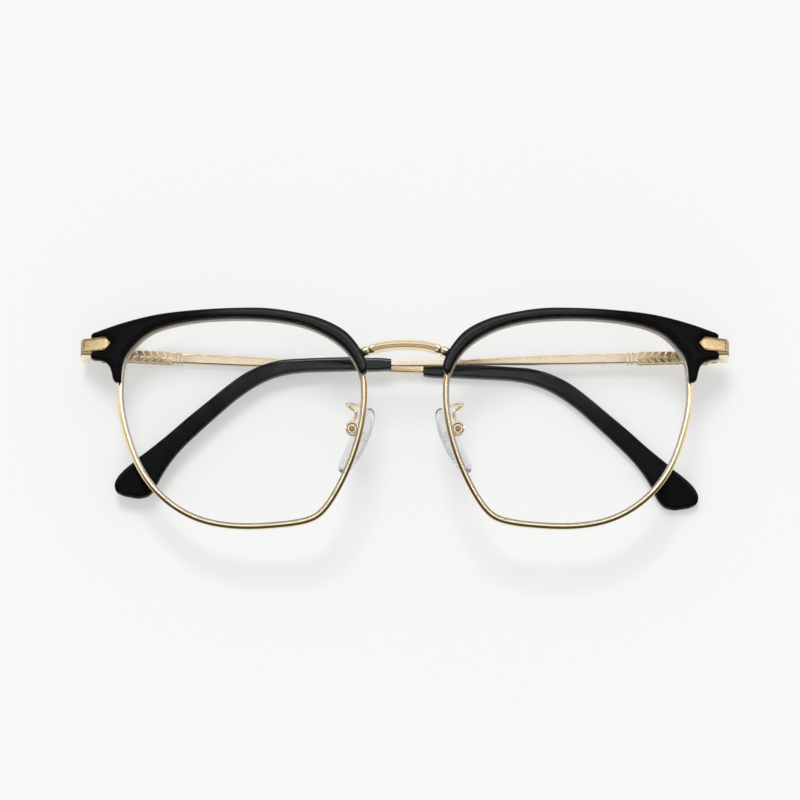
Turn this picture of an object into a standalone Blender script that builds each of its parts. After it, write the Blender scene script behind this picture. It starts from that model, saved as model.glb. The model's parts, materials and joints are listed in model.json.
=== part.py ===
"""Browline spectacles with folded temples, built as separate pieces in metres with +Z up.

The front lies face up. Left and right are the wearer's, so the left side is at +X.
All shapes are drawn in millimetres for the left side and mirrored for the right side.
"""

import math

import bpy
from mathutils import Matrix, Vector
from mathutils.geometry import delaunay_2d_cdt

# Driving dimensions, in millimetres
MM = 0.001
LENS_CENTRE_X = 36.0
LENS_BASE_RADIUS = 130.0
FACE_WRAP = 0.0787
RIM_WIDTH = 1.3
RIM_DEPTH = 2.2
RIM_SLIT = 0.2
GROOVE_DEPTH = 0.5
LENS_THICKNESS = 1.7
BAR_BACK = -0.2
BAR_FRONT = 3.0
BAR_BEVEL = 0.3
RIM_CLEARANCE = 0.1
BAR_SETBACK = 0.05
BAR_LOBE_REACH = 4.7
BAR_NASAL_END = 11.0
HINGE_X = 70.1
HINGE_Z = -11.6
HINGE_Y_LEFT = 18.8
HINGE_Y_RIGHT = 19.3
DROP_LEFT = 0.0275
DROP_RIGHT = 0.043
TEMPLE_OFFSET = 1.9
TEMPLE_THICKNESS = 1.2
PANEL_INNER = 1.3
PANEL_OUTER = 3.2
PANEL_START = 0.5
SLEEVE_THICKNESS = 2.6
CORE_RADIUS = 0.6
BORE_RADIUS = 0.76
STACK_PITCH = 2.38
KNUCKLE_RADIUS = 1.1
KNUCKLE_HEIGHT = 1.05
KNUCKLE_GAP = 0.1
SCREW_RADIUS = 0.45
SCREW_HOLE = 0.51
PAD_SCREW_X = 11.85
PAD_SCREW_Y = -0.9
PAD_SCREW_RADIUS = 0.42
PAD_HOLE = 0.5
BLOCK_A = 28.7
BLOCK_Y = 14.5
BLOCK_BEHIND = 1.484
CENTRE_X = 0.1744
CENTRE_Y = 0.9278

RIM_SEGMENTS = 64
ROUND = 16

TILT = math.asin(STACK_PITCH / (2.0 * HINGE_X))
BASE_Z = PANEL_OUTER + HINGE_X * math.sin(TILT) - HINGE_Z * math.cos(TILT)

# Groove line of the rim from the temporal side over the brow, as temporal and upward distances
RIM_POINTS = [
    (27.65, 9.8), (27.2, 15.7), (25.45, 18.35), (21.55, 22.15), (14.6, 24.05),
    (6.2, 24.7), (-4.05, 24.4), (-12.5, 23.0), (-18.3, 20.55), (-22.55, 17.45),
    (-25.15, 13.95), (-26.5, 10.5), (-26.85, 8.5), (-26.8, 2.5), (-25.6, -4.3),
    (-23.5, -10.65), (-20.65, -16.6), (-17.45, -21.05), (-14.3, -22.65), (-7.9, -23.55),
    (0.0, -23.8), (7.1, -22.7), (12.6, -20.35), (17.6, -16.55), (21.65, -11.65),
    (24.7, -5.3), (27.3, 4.0),
]
# Outer edge of the brow bar from its nasal tip to the upper prong of the wing
BAR_TOP = [
    (-26.75, 10.55), (-27.45, 11.3), (-27.5, 12.7), (-27.2, 13.9), (-25.5, 17.2), (-22.5, 20.7),
    (-17.4, 23.5), (-11.5, 25.1), (-5.3, 26.15), (1.1, 26.4), (10.6, 26.3), (19.8, 25.75),
    (27.6, 24.35), (34.3, 22.55),
]
# Wing with its slot, lower prong and lobe
BAR_WING = [
    (34.85, 22.2), (34.85, 21.42), (31.75, 21.42), (31.2, 21.2), (30.2, 19.85), (30.02, 19.45),
    (30.2, 19.05), (31.2, 17.85), (31.75, 17.64), (34.5, 17.64), (34.75, 17.3), (34.68, 16.5),
    (34.2, 16.08), (33.1, 15.72), (31.4, 15.1), (30.3, 13.95), (29.65, 12.3), (29.25, 10.65),
    (28.85, 10.1), (28.2, 9.8), (27.65, 9.6),
]
PLATE = [
    (37.0, 17.85), (37.0, 21.21), (31.7, 21.3), (31.25, 21.05), (30.3, 19.8), (30.16, 19.48),
    (30.3, 19.15), (31.25, 17.98), (31.7, 17.76),
]
# Upper and lower edge of the temple end, as distance along the temple and drop below its line
TIP_UPPER = [
    (73.9, -1.45), (83.4, -1.6), (93.4, -1.48), (97.8, -1.25), (102.0, -0.25), (106.3, 1.75),
    (110.6, 4.9), (114.7, 8.35), (118.8, 11.8), (123.6, 16.1), (128.1, 19.8), (131.8, 22.6),
    (134.1, 24.9), (135.0, 26.9), (134.6, 28.5), (133.0, 29.5),
]
TIP_LOWER = [
    (73.9, 1.45), (83.4, 1.5), (93.4, 1.6), (97.0, 2.05), (100.4, 3.0), (104.1, 4.85),
    (108.2, 7.75), (112.1, 11.2), (116.3, 15.1), (119.9, 18.7), (122.5, 22.0), (124.1, 24.6),
    (125.3, 26.9), (126.1, 28.3), (127.4, 29.6), (129.4, 30.2),
]


def catmull(points, per_span, closed):
    """Smooth curve through the points, as a list of vectors."""
    points = [Vector(p) for p in points]
    count = len(points)
    spans = count if closed else count - 1
    out = []
    for i in range(spans):
        if closed:
            p0, p1 = points[i - 1], points[i]
            p2, p3 = points[(i + 1) % count], points[(i + 2) % count]
        else:
            p1, p2 = points[i], points[i + 1]
            p0 = points[i - 1] if i > 0 else p1 * 2.0 - p2
            p3 = points[i + 2] if i + 2 < count else p2 * 2.0 - p1
        t1 = max((p1 - p0).length ** 0.5, 1e-6)
        t2 = t1 + max((p2 - p1).length ** 0.5, 1e-6)
        t3 = t2 + max((p3 - p2).length ** 0.5, 1e-6)
        for k in range(per_span):
            t = t1 + (t2 - t1) * k / per_span
            a1 = p0 * ((t1 - t) / t1) + p1 * (t / t1)
            a2 = p1 * ((t2 - t) / (t2 - t1)) + p2 * ((t - t1) / (t2 - t1))
            a3 = p2 * ((t3 - t) / (t3 - t2)) + p3 * ((t - t2) / (t3 - t2))
            b1 = a1 * ((t2 - t) / t2) + a2 * (t / t2)
            b2 = a2 * ((t3 - t) / (t3 - t1)) + a3 * ((t - t1) / (t3 - t1))
            out.append(b1 * ((t2 - t) / (t2 - t1)) + b2 * ((t - t1) / (t2 - t1)))
    if not closed:
        out.append(points[-1].copy())
    return out


def dome(a, y):
    """Height of the front surface at a temporal distance from the lens centre."""
    return -FACE_WRAP * a - (a * a + y * y) / (2.0 * LENS_BASE_RADIUS)


def on_dome(a, y, height=0.0):
    """Point over the front surface, in the frame of the front."""
    return Vector((LENS_CENTRE_X + a, y, dome(a, y) + height))


def dome_normal(a, y):
    """Outward normal of the front surface."""
    return Vector((FACE_WRAP + a / LENS_BASE_RADIUS, y / LENS_BASE_RADIUS, 1.0)).normalized()


class RimLine:
    """Groove line of the rim, measured from the slit on the temporal side."""

    def __init__(self):
        dense = catmull(RIM_POINTS, 16, True)
        for _ in range(3):
            count = len(dense)
            dense = [
                (dense[i - 4] + dense[i] * 2.0 + dense[(i + 4) % count]) / 4.0
                for i in range(count)
            ]
        start = min(
            range(len(dense)),
            key=lambda i: abs(dense[i].y - 14.5) + (100.0 if dense[i].x < 0 else 0.0),
        )
        dense = dense[start:] + dense[:start] + [dense[start]]
        self.points = dense
        self.lengths = [0.0]
        for p, q in zip(dense, dense[1:]):
            self.lengths.append(self.lengths[-1] + (q - p).length)
        self.total = self.lengths[-1]
        self.marks = [self.total * i / 400 for i in range(200)]

    def flat(self, distance):
        """Temporal and upward position at a distance along the line."""
        distance = distance % self.total
        low, high = 0, len(self.lengths) - 1
        while high - low > 1:
            mid = (low + high) // 2
            if self.lengths[mid] <= distance:
                low = mid
            else:
                high = mid
        part = (distance - self.lengths[low]) / (self.lengths[high] - self.lengths[low])
        return self.points[low].lerp(self.points[high], part)

    def frame(self, distance):
        """Position, outward direction and normal at a distance along the line."""
        p = self.flat(distance)
        before = self.flat(distance - 0.6)
        after = self.flat(distance + 0.6)
        here = on_dome(p.x, p.y)
        tangent = (on_dome(after.x, after.y) - on_dome(before.x, before.y)).normalized()
        outward = tangent.cross(dome_normal(p.x, p.y)).normalized()
        return here, outward, outward.cross(tangent).normalized()

    def at(self, distance, b, n):
        """Point offset outward by b and forward by n from the groove line."""
        here, outward, normal = self.frame(distance)
        return here + outward * b + normal * n


RIM = RimLine()
RIM_SAMPLES = [
    RIM_SLIT / 2.0 + (RIM.total - RIM_SLIT) * i / RIM_SEGMENTS for i in range(RIM_SEGMENTS + 1)
]


def loft(rings, closed=False):
    """Skin over rings of equal length, with capped ends unless it closes on itself."""
    size = len(rings[0])
    verts = [Vector(p) for ring in rings for p in ring]
    faces = []
    spans = len(rings) if closed else len(rings) - 1
    for i in range(spans):
        first = i * size
        second = ((i + 1) % len(rings)) * size
        for j in range(size):
            k = (j + 1) % size
            faces.append((first + j, first + k, second + k, second + j))
    if not closed:
        faces.append(tuple(range(size - 1, -1, -1)))
        last = (len(rings) - 1) * size
        faces.append(tuple(range(last, last + size)))
    return verts, faces


def circle(centre, radius, axis, count=ROUND, turn=0.5):
    """Ring of points round a centre, across the named axis."""
    out = []
    for i in range(count):
        angle = 2.0 * math.pi * (i + turn) / count
        u, v = radius * math.cos(angle), radius * math.sin(angle)
        if axis == "z":
            out.append(Vector((centre[0] + u, centre[1] + v, centre[2])))
        else:
            out.append(Vector((centre[0] + u, centre[1], centre[2] + v)))
    return out


def turned(x, y, z, steps, axis, count=ROUND):
    """Turned solid from (position along the axis, radius) steps."""
    rings = []
    for along, radius in steps:
        centre = (x, y, along) if axis == "z" else (x, along, z)
        rings.append(circle(centre, radius, axis, count))
    return loft(rings)


def prism(outline, low, high, axis):
    """Straight prism over an outline; axis y takes (x, z) points and axis z takes (x, y)."""
    if axis == "y":
        rings = [[Vector((x, level, z)) for x, z in outline] for level in (low, high)]
    else:
        rings = [[Vector((x, y, level)) for x, y in outline] for level in (low, high)]
    return loft(rings)


def inset(outline, distance):
    """Counter-clockwise outline moved inward by a distance."""
    out = []
    count = len(outline)
    for i in range(count):
        here = Vector(outline[i])
        back = (here - Vector(outline[i - 1])).normalized()
        ahead = (Vector(outline[(i + 1) % count]) - here).normalized()
        n1 = Vector((-back.y, back.x))
        n2 = Vector((-ahead.y, ahead.x))
        out.append(here + (n1 + n2) * (distance / max(0.35, 1.0 + n1.dot(n2))))
    return out


def pillow(outline, levels):
    """Thick curved plate over a counter-clockwise outline, with (inset, height) levels."""
    area = sum(
        p[0] * q[1] - q[0] * p[1] for p, q in zip(outline, outline[1:] + outline[:1])
    )
    if area < 0.0:
        outline = outline[::-1]
    rings = []
    for distance, height in levels:
        flat = inset(outline, distance) if distance else [Vector(p) for p in outline]
        rings.append((flat, height))
    size = len(outline)
    verts = [on_dome(p.x, p.y, height) for flat, height in rings for p in flat]
    faces = []
    for i in range(len(rings) - 1):
        for j in range(size):
            k = (j + 1) % size
            low, high = i * size, (i + 1) * size
            faces.append((low + j, low + k, high + k, high + j))
    edges = [(j, (j + 1) % size) for j in range(size)]
    for which, flip in ((0, True), (len(rings) - 1, False)):
        points = rings[which][0]
        result = delaunay_2d_cdt([Vector((p.x, p.y)) for p in points], edges, [], 1, 1e-7)
        back = [min(ids) if ids else None for ids in result[3]]
        for face in result[2]:
            corners = [back[c] + which * size for c in face]
            faces.append(tuple(corners[::-1]) if flip else tuple(corners))
    return verts, faces


def rim_sweep(profile, closed=False, start=0, stop=None):
    """Skin swept along the rim from (outward, forward) profile points."""
    samples = RIM_SAMPLES[start:stop]
    if closed:
        samples = [RIM.total * i / RIM_SEGMENTS for i in range(RIM_SEGMENTS)]
    rings = [[RIM.at(s, b, n) for b, n in profile] for s in samples]
    return loft(rings, closed)


def rim_shape():
    """Rim wire with a rounded front and a V groove for the lens."""
    half, deep = RIM_WIDTH / 2.0, RIM_DEPTH / 2.0
    return rim_sweep([
        (-0.45, -deep), (0.45, -deep), (half, -0.9), (half, 0.75), (0.48, 1.0), (0.2, deep),
        (-0.2, deep), (-0.48, 1.0), (-half, 0.75), (-half, 0.47), (GROOVE_DEPTH - half, 0.0),
        (-half, -0.47), (-half, -0.9),
    ])


def lens_shape():
    """Curved lens with a V bevel that sits in the rim groove."""
    bevel = GROOVE_DEPTH - RIM_WIDTH / 2.0 - 0.16
    half = LENS_THICKNESS / 2.0
    rings = []
    for i in range(RIM_SEGMENTS):
        s = RIM.total * i / RIM_SEGMENTS
        edge = [
            RIM.at(s, -0.8, -half), RIM.at(s, -0.8, -0.41), RIM.at(s, bevel, 0.0),
            RIM.at(s, -0.8, 0.41), RIM.at(s, -0.8, half),
        ]
        flat = RIM.flat(s)
        front = []
        for scale in (0.66, 0.33):
            a, y = flat.x * scale, flat.y * scale
            front.append((a, y))
        inner = [on_dome(a, y, half) for a, y in front]
        outer = [on_dome(a, y, -half) for a, y in front[::-1]]
        rings.append(outer + edge + inner)
    size = len(rings[0])
    verts = [p for ring in rings for p in ring]
    faces = []
    for i in range(RIM_SEGMENTS):
        k = (i + 1) % RIM_SEGMENTS
        for j in range(size - 1):
            faces.append((i * size + j, i * size + j + 1, k * size + j + 1, k * size + j))
    back, front = len(verts), len(verts) + 1
    verts.append(on_dome(0.0, 0.0, -half))
    verts.append(on_dome(0.0, 0.0, half))
    for i in range(RIM_SEGMENTS):
        k = (i + 1) % RIM_SEGMENTS
        faces.append((back, i * size, k * size))
        faces.append((front, k * size + size - 1, i * size + size - 1))
    return verts, faces


def bar_outline():
    """Outline of the brow bar from its nasal tip over the brow and back along the rim."""
    top = catmull(BAR_TOP, 3, False)
    wing = [Vector(p) for p in BAR_WING]
    reach = max(s for s in RIM.marks if RIM.flat(s).x < 0.0 and RIM.flat(s).y > BAR_NASAL_END)
    count = RIM_SEGMENTS // 2
    inner = []
    for i in range(count + 1):
        s = -BAR_LOBE_REACH + (reach + BAR_LOBE_REACH) * i / count
        p = RIM.at(s, -RIM_WIDTH / 2.0 + BAR_SETBACK, RIM_DEPTH / 2.0 + RIM_CLEARANCE)
        inner.append(Vector((p.x - LENS_CENTRE_X, p.y)))
    return top[:-1] + [Vector(BAR_TOP[-1])] + wing + inner


def bar_shape():
    """Brow bar with a bevelled front edge."""
    outline = bar_outline()
    return pillow(outline, [
        (0.0, BAR_BACK), (0.0, BAR_FRONT - BAR_BEVEL), (BAR_BEVEL, BAR_FRONT),
    ])


def bridge_sweep(grow=0.0, reach=11.9):
    """Double bridge bar with a groove along its front."""
    half = [
        (0.0, 17.3, 0.5, 1.0), (2.6, 17.2, 0.48, 1.0), (5.0, 16.95, 0.34, 1.0),
        (6.8, 16.55, 0.1, 1.0), (7.9, 16.25, -0.15, 0.97), (8.5, 16.08, -0.35, 0.84),
        (9.2, 15.9, -0.65, 0.84), (10.2, 15.65, -1.1, 0.84), (reach, 15.35, -1.35, 0.84),
    ]
    path = [(-x, y, z, k) for x, y, z, k in half[:0:-1]] + half
    profile = [
        (0.95, 0.0), (0.78, 0.7), (0.3, 0.95), (-0.05, 0.8), (-0.25, 0.3), (-0.45, 0.6),
        (-0.7, 0.65), (-0.92, 0.35), (-0.95, -0.3), (-0.6, -0.85), (0.5, -0.85), (0.9, -0.5),
    ]
    if grow:
        profile = [(0.95, 0.5), (0.75, 0.95), (-0.75, 0.8), (-0.95, 0.5), (-0.95, -1.2), (0.95, -1.2)]
    rings = []
    for i, (x, y, z, k) in enumerate(path):
        before = Vector(path[max(i - 1, 0)][:3])
        after = Vector(path[min(i + 1, len(path) - 1)][:3])
        along = (after - before).normalized()
        side = Vector((0.0, 0.0, 1.0))
        up = side.cross(along).normalized()
        out = along.cross(up).normalized()
        ring = []
        for q, n in profile:
            wide = q * k + math.copysign(grow, q)
            deep = n * k + math.copysign(grow, n)
            ring.append(Vector((x, y, z)) + up * wide + out * deep)
        rings.append(ring)
    return loft(rings)


def shear_y(shape, pivot_z, slope):
    """Shape leaned toward the chin as it goes back from the pivot level."""
    verts, faces = shape
    return [Vector((p.x, p.y + slope * (p.z - pivot_z), p.z)) for p in verts], faces


def wire(path, radius, per_span=3, count=8):
    """Round wire along a smooth path."""
    line = catmull(path, per_span, False)
    rings = []
    side = None
    for i, p in enumerate(line):
        tangent = (line[min(i + 1, len(line) - 1)] - line[max(i - 1, 0)]).normalized()
        if side is None:
            side = tangent.orthogonal().normalized()
        side = (side - tangent * side.dot(tangent)).normalized()
        other = tangent.cross(side)
        rings.append([
            p + side * (radius * math.cos(2 * math.pi * k / count))
            + other * (radius * math.sin(2 * math.pi * k / count))
            for k in range(count)
        ])
    return loft(rings)


def temple_point(s, w, d, drop):
    """Point of the folded temple from its hinge axis: along, drop below its line, depth."""
    return Vector((-s, -drop * s - w, -d))


def section(hw, d0, d1, c):
    """Ten-point section of the temple bar as (width, depth) points."""
    return [
        (-hw, d0 + c), (-hw + c, d0), (0.0, d0), (hw - c, d0), (hw, d0 + c),
        (hw, d1 - c), (hw - c, d1), (0.0, d1), (-hw + c, d1), (-hw, d1 - c),
    ]


def tip_rails():
    """Matching samples of the upper and lower edge of the temple end."""
    upper = catmull([(s, w) for s, w in TIP_UPPER], 2, False)
    lower = catmull([(s, w) for s, w in TIP_LOWER], 2, False)
    keep = [0, 1, 2, 3, 4] + list(range(5, len(upper)))
    return [(upper[i], lower[i]) for i in keep]


def core_line():
    """Middle line of the temple end, as far as its wire core goes."""
    rails = tip_rails()
    return [(u + v) / 2.0 for u, v in rails[:23]]


def core_rings(radius, drop, lead):
    """Round rings along the middle line of the temple end."""
    line = core_line()
    line = [Vector((line[0].x - lead, line[0].y))] + line[1:]
    rings = []
    for i, p in enumerate(line):
        tangent = (line[min(i + 1, len(line) - 1)] - line[max(i - 1, 0)]).normalized()
        across = Vector((-tangent.y, tangent.x))
        ring = []
        for angle in (198, 234, 270, 306, 342, 18, 54, 90, 126, 162):
            q = radius * math.cos(math.radians(angle))
            h = radius * math.sin(math.radians(angle))
            flat = p + across * q
            ring.append(temple_point(flat.x, flat.y, TEMPLE_OFFSET + h, drop))
        rings.append(ring)
    return rings


def arm_shape(drop):
    """Temple bar with a chevron panel, two collars, a tapering wire and its core."""
    thin0 = TEMPLE_OFFSET - TEMPLE_THICKNESS / 2.0
    thin1 = TEMPLE_OFFSET + TEMPLE_THICKNESS / 2.0
    stations = [(PANEL_START, 1.3, PANEL_INNER, PANEL_OUTER, 0.0)]
    stations.append((1.5, 1.3, PANEL_INNER, PANEL_OUTER, 0.0))
    count = 9
    for i in range(count):
        s = 2.2 + 1.6 * i
        stations.append((s, 1.3, PANEL_INNER + 0.14, PANEL_OUTER - 0.14, 0.8))
        stations.append((s + 0.8, 1.3, PANEL_INNER, PANEL_OUTER, 0.8))
    stations += [
        (17.5, 1.3, PANEL_INNER, PANEL_OUTER, 0.0), (17.75, 1.15, thin0, thin1 + 0.2, 0.0),
        (18.05, 1.15, thin0, thin1 + 0.2, 0.0), (18.2, 1.32, thin0 - 0.1, thin1 + 0.45, 0.0),
        (18.9, 1.32, thin0 - 0.1, thin1 + 0.35, 0.0), (19.1, 1.18, thin0, thin1, 0.0),
        (33.4, 1.13, thin0, thin1, 0.0), (44.0, 0.9, thin0, thin1, 0.0),
        (55.4, 0.66, thin0, thin1, 0.0), (73.2, 0.64, thin0, thin1, 0.0),
    ]
    rings = []
    for s, hw, d0, d1, shift in stations:
        ring = []
        for index, (w, d) in enumerate(section(hw, d0, d1, 0.2)):
            along = s + (shift if index in (2, 7) else 0.0)
            ring.append(temple_point(along, w, d, drop))
        rings.append(ring)
    core = core_rings(CORE_RADIUS, drop, 0.35)
    return loft(rings + core[:-1])


def sleeve_shape(drop):
    """Temple end sleeve, flat on both faces with rounded edges."""
    d0 = TEMPLE_OFFSET - SLEEVE_THICKNESS / 2.0
    d1 = TEMPLE_OFFSET + SLEEVE_THICKNESS / 2.0
    rings = []
    rails = tip_rails()
    for i, (u, v) in enumerate(rails):
        middle = (u + v) / 2.0
        half = (v - u).length / 2.0
        across = (v - u).normalized()
        squeeze = 0.0
        if i == len(rails) - 1:
            squeeze = 0.55
        elif i == len(rails) - 2:
            squeeze = 0.25
        elif i == 0:
            squeeze = 0.12
        half -= squeeze if i == 0 else 0.0
        r = 0.62
        a0, a1 = d0 + squeeze, d1 - squeeze
        ring = []
        for w, d in (
            (-half, a0 + r), (-half + 0.3 * r, a0 + 0.3 * r), (-half + r, a0), (half - r, a0),
            (half - 0.3 * r, a0 + 0.3 * r), (half, a0 + r), (half, a1 - r),
            (half - 0.3 * r, a1 - 0.3 * r), (half - r, a1), (-half + r, a1),
            (-half + 0.3 * r, a1 - 0.3 * r), (-half, a1 - r),
        ):
            p = middle + across * w
            ring.append(temple_point(p.x, p.y, d, drop))
        rings.append(ring)
    return loft(rings)


def bore_shape(drop):
    """Blind bore of the temple end for the wire core."""
    return loft(core_rings(BORE_RADIUS, drop, 1.0))


def pad_shape():
    """Nose pad plate with a bowed nasal face."""
    centre = Vector((10.4, -2.9, -7.7))
    up = Vector((-0.39, 0.92, 0.0)).normalized()
    back = Vector((0.545, 0.231, -0.806)).normalized()
    nasal = up.cross(back).normalized()
    rings = []
    for scale, t in ((0.7, -0.8), (0.92, -0.55), (1.0, 0.0), (0.93, 0.45), (0.68, 0.8)):
        ring = []
        for i in range(20):
            angle = 2.0 * math.pi * i / 20
            c, s = math.cos(angle), math.sin(angle)
            u = 8.2 * math.copysign(abs(s) ** 0.85, s)
            v = 3.25 * math.copysign(abs(c) ** 0.8, c) * (1.0 - 0.12 * s)
            edge = 0.8 * (1.0 - scale)
            u -= math.copysign(min(abs(u), edge * 4.0), u)
            v -= math.copysign(min(abs(v), edge * 3.2), v)
            bow = -0.011 * u * u
            ring.append(centre + up * u + back * v + nasal * (t + bow))
        rings.append(ring)
    return loft(rings)


def tongue_shape():
    """Tongue of the nose pad, from the pad to the screw of its box."""
    x, y = PAD_SCREW_X, PAD_SCREW_Y
    outline = []
    for degrees in range(-75, 136, 30):
        angle = math.radians(degrees)
        outline.append((x + 1.1 * math.cos(angle), y + 1.1 * math.sin(angle)))
    outline += [(8.6, -1.7), (8.3, -3.4), (9.4, -3.7)]
    return prism(outline, -5.2, -4.3, "z")


class Builder:
    """Places shapes of one side as objects under their frames."""

    def __init__(self):
        self.front = bpy.data.objects.new("front_frame", None)
        bpy.context.scene.collection.objects.link(self.front)
        shift = Matrix.Translation(Vector((-CENTRE_X, -CENTRE_Y, BASE_Z)) * MM)
        self.front.matrix_world = shift @ Matrix.Rotation(-TILT, 4, "Y")
        self.hinges = {}
        for side, y in ((1, HINGE_Y_LEFT), (-1, HINGE_Y_RIGHT)):
            name = "hinge_axis_left" if side > 0 else "hinge_axis_right"
            empty = bpy.data.objects.new(name, None)
            bpy.context.scene.collection.objects.link(empty)
            x = side * HINGE_X * math.cos(TILT) - HINGE_Z * math.sin(TILT)
            z = side * HINGE_X * math.sin(TILT) + HINGE_Z * math.cos(TILT) + BASE_Z
            empty.matrix_world = Matrix.Translation(Vector((x - CENTRE_X, y - CENTRE_Y, z)) * MM)
            self.hinges[side] = empty

    def place(self, name, shape, parent, side=1, helper=False):
        """Makes a mesh object from a shape in millimetres, mirrored for the right side."""
        verts, faces = shape
        points = [(p.x * side * MM, p.y * MM, p.z * MM) for p in verts]
        if side < 0:
            faces = [tuple(reversed(face)) for face in faces]
        mesh = bpy.data.meshes.new(name)
        mesh.from_pydata(points, [], faces)
        volume = 0.0
        mesh.calc_loop_triangles()
        for triangle in mesh.loop_triangles:
            a, b, c = (mesh.vertices[i].co for i in triangle.vertices)
            volume += a.dot(b.cross(c))
        if volume < 0.0:
            mesh.flip_normals()
        obj = bpy.data.objects.new(name, mesh)
        obj.parent = parent
        bpy.context.scene.collection.objects.link(obj)
        if helper:
            obj.hide_render = True
            obj.display_type = "WIRE"
        return obj


def combine(obj, other, operation):
    """Adds an exact Boolean with a helper shape."""
    modifier = obj.modifiers.new(operation.lower(), "BOOLEAN")
    modifier.operation = operation
    modifier.solver = "EXACT"
    modifier.object = other


def coat(obj, colour, metallic, roughness, alpha=1.0):
    """Gives the object its own material."""
    material = bpy.data.materials.new(obj.name)
    material.use_nodes = True
    shader = material.node_tree.nodes["Principled BSDF"]
    shader.inputs["Base Color"].default_value = (*colour, 1.0)
    shader.inputs["Metallic"].default_value = metallic
    shader.inputs["Roughness"].default_value = roughness
    shader.inputs["Alpha"].default_value = alpha
    obj.data.materials.append(material)


GOLD = ((0.83, 0.66, 0.38), 1.0, 0.28)
STEEL = ((0.72, 0.70, 0.66), 1.0, 0.3)
BLACK = ((0.012, 0.012, 0.014), 0.0, 0.4)
DARK = ((0.02, 0.035, 0.045), 0.0, 0.15)
CLEAR = ((0.93, 0.95, 0.96), 0.0, 0.05, 0.25)
SOFT = ((0.88, 0.88, 0.87), 0.0, 0.25, 0.6)


def build_front(maker, side, word):
    """Pieces of one side that stay with the front."""
    front = maker.front
    rim = maker.place("rim_" + word, rim_shape(), front, side)
    coat(rim, *GOLD)
    lens = maker.place("lens_" + word, lens_shape(), front, side)
    coat(lens, *CLEAR)

    bar = maker.place("brow_bar_" + word, bar_shape(), front, side)
    reach = RIM_WIDTH / 2.0 + RIM_CLEARANCE
    rise = RIM_DEPTH / 2.0 + RIM_CLEARANCE
    channel = rim_sweep([(-3.0, -3.0), (reach, -3.0), (reach, rise), (-3.0, rise)], closed=True)
    combine(bar, maker.place("cut_rim_" + word, channel, front, side, True), "DIFFERENCE")
    room = maker.place("cut_bridge_" + word, bridge_sweep(0.14, 11.4), front, 1, True)
    combine(bar, room, "DIFFERENCE")
    hole_x, hole_y = LENS_CENTRE_X + 28.6, 19.0
    top = dome(28.6, 19.0)
    screw_hole = turned(hole_x, hole_y, 0, [(top - 3.5, 0.5), (top + 1.6, 0.5)], "z")
    screw_cut = maker.place("cut_brow_screw_" + word, screw_hole, front, side, True)
    combine(bar, screw_cut, "DIFFERENCE")
    coat(bar, *BLACK)

    plan = [
        (63.5, -7.2), (67.0, -8.3), (71.05, -9.6), (71.05, -7.45), (72.9, -7.6),
        (73.2, -8.0), (73.3, -8.6), (73.3, -11.95), (71.4, -11.95), (71.4, -9.7),
        (67.3, -9.7), (65.0, -8.95), (63.5, -8.5),
    ]
    elbow = shear_y(prism(plan, 17.75, 21.31, "y"), -7.0, 0.15)
    end = maker.place("end_piece_" + word, elbow, front, side)
    plate = pillow(PLATE, [(0.0, -0.2), (0.0, 2.5), (0.3, 2.8)])
    combine(end, maker.place("add_plate_" + word, plate, front, side, True), "UNION")
    web = prism([(67.2, -9.0), (71.2, -9.68), (71.2, -7.5), (67.2, -6.6)], 17.95, 20.9, "y")
    combine(end, maker.place("add_plate_web_" + word, web, front, side, True), "UNION")
    combine(end, screw_cut, "DIFFERENCE")
    coat(end, *GOLD)

    steps = [(top - 2.9, 0.85), (top - 2.45, 0.85), (top - 2.45, 0.42), (top + 1.4, 0.42)]
    screw = maker.place("brow_screw_" + word, turned(hole_x, hole_y, 0, steps, "z"), front, side)
    coat(screw, *STEEL)

    build_block(maker, side, word)
    build_hinge_front(maker, side, word)
    build_pad(maker, side, word)


def build_block(maker, side, word):
    """Split block that closes the rim round its lens, with its screw."""
    front = maker.front
    x, z = LENS_CENTRE_X + BLOCK_A, dome(BLOCK_A, BLOCK_Y) - BLOCK_BEHIND
    hole = turned(x, 0, z, [(11.0, 0.6), (18.0, 0.6)], "y")
    cut = maker.place("cut_block_" + word, hole, front, side, True)
    for name, low, high in (("upper", 14.6, 16.25), ("lower", 12.75, 14.4)):
        body = turned(x, 0, z, [(low, 1.0), (high, 1.0)], "y")
        block = maker.place("rim_block_" + name + "_" + word, body, front, side)
        combine(block, cut, "DIFFERENCE")
        coat(block, *GOLD)
    steps = [(12.1, 0.9), (12.65, 0.9), (12.65, 0.5), (16.2, 0.5)]
    screw = maker.place("rim_screw_" + word, turned(x, 0, z, steps, "y"), front, side)
    coat(screw, *STEEL)


def knuckle_levels(side):
    """Lower and upper level of the three knuckles, from the lowest."""
    middle = HINGE_Y_LEFT if side > 0 else HINGE_Y_RIGHT
    pitch = KNUCKLE_HEIGHT + KNUCKLE_GAP
    half = KNUCKLE_HEIGHT / 2.0
    return [(middle + k * pitch - half, middle + k * pitch + half) for k in (-1, 0, 1)]


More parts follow.
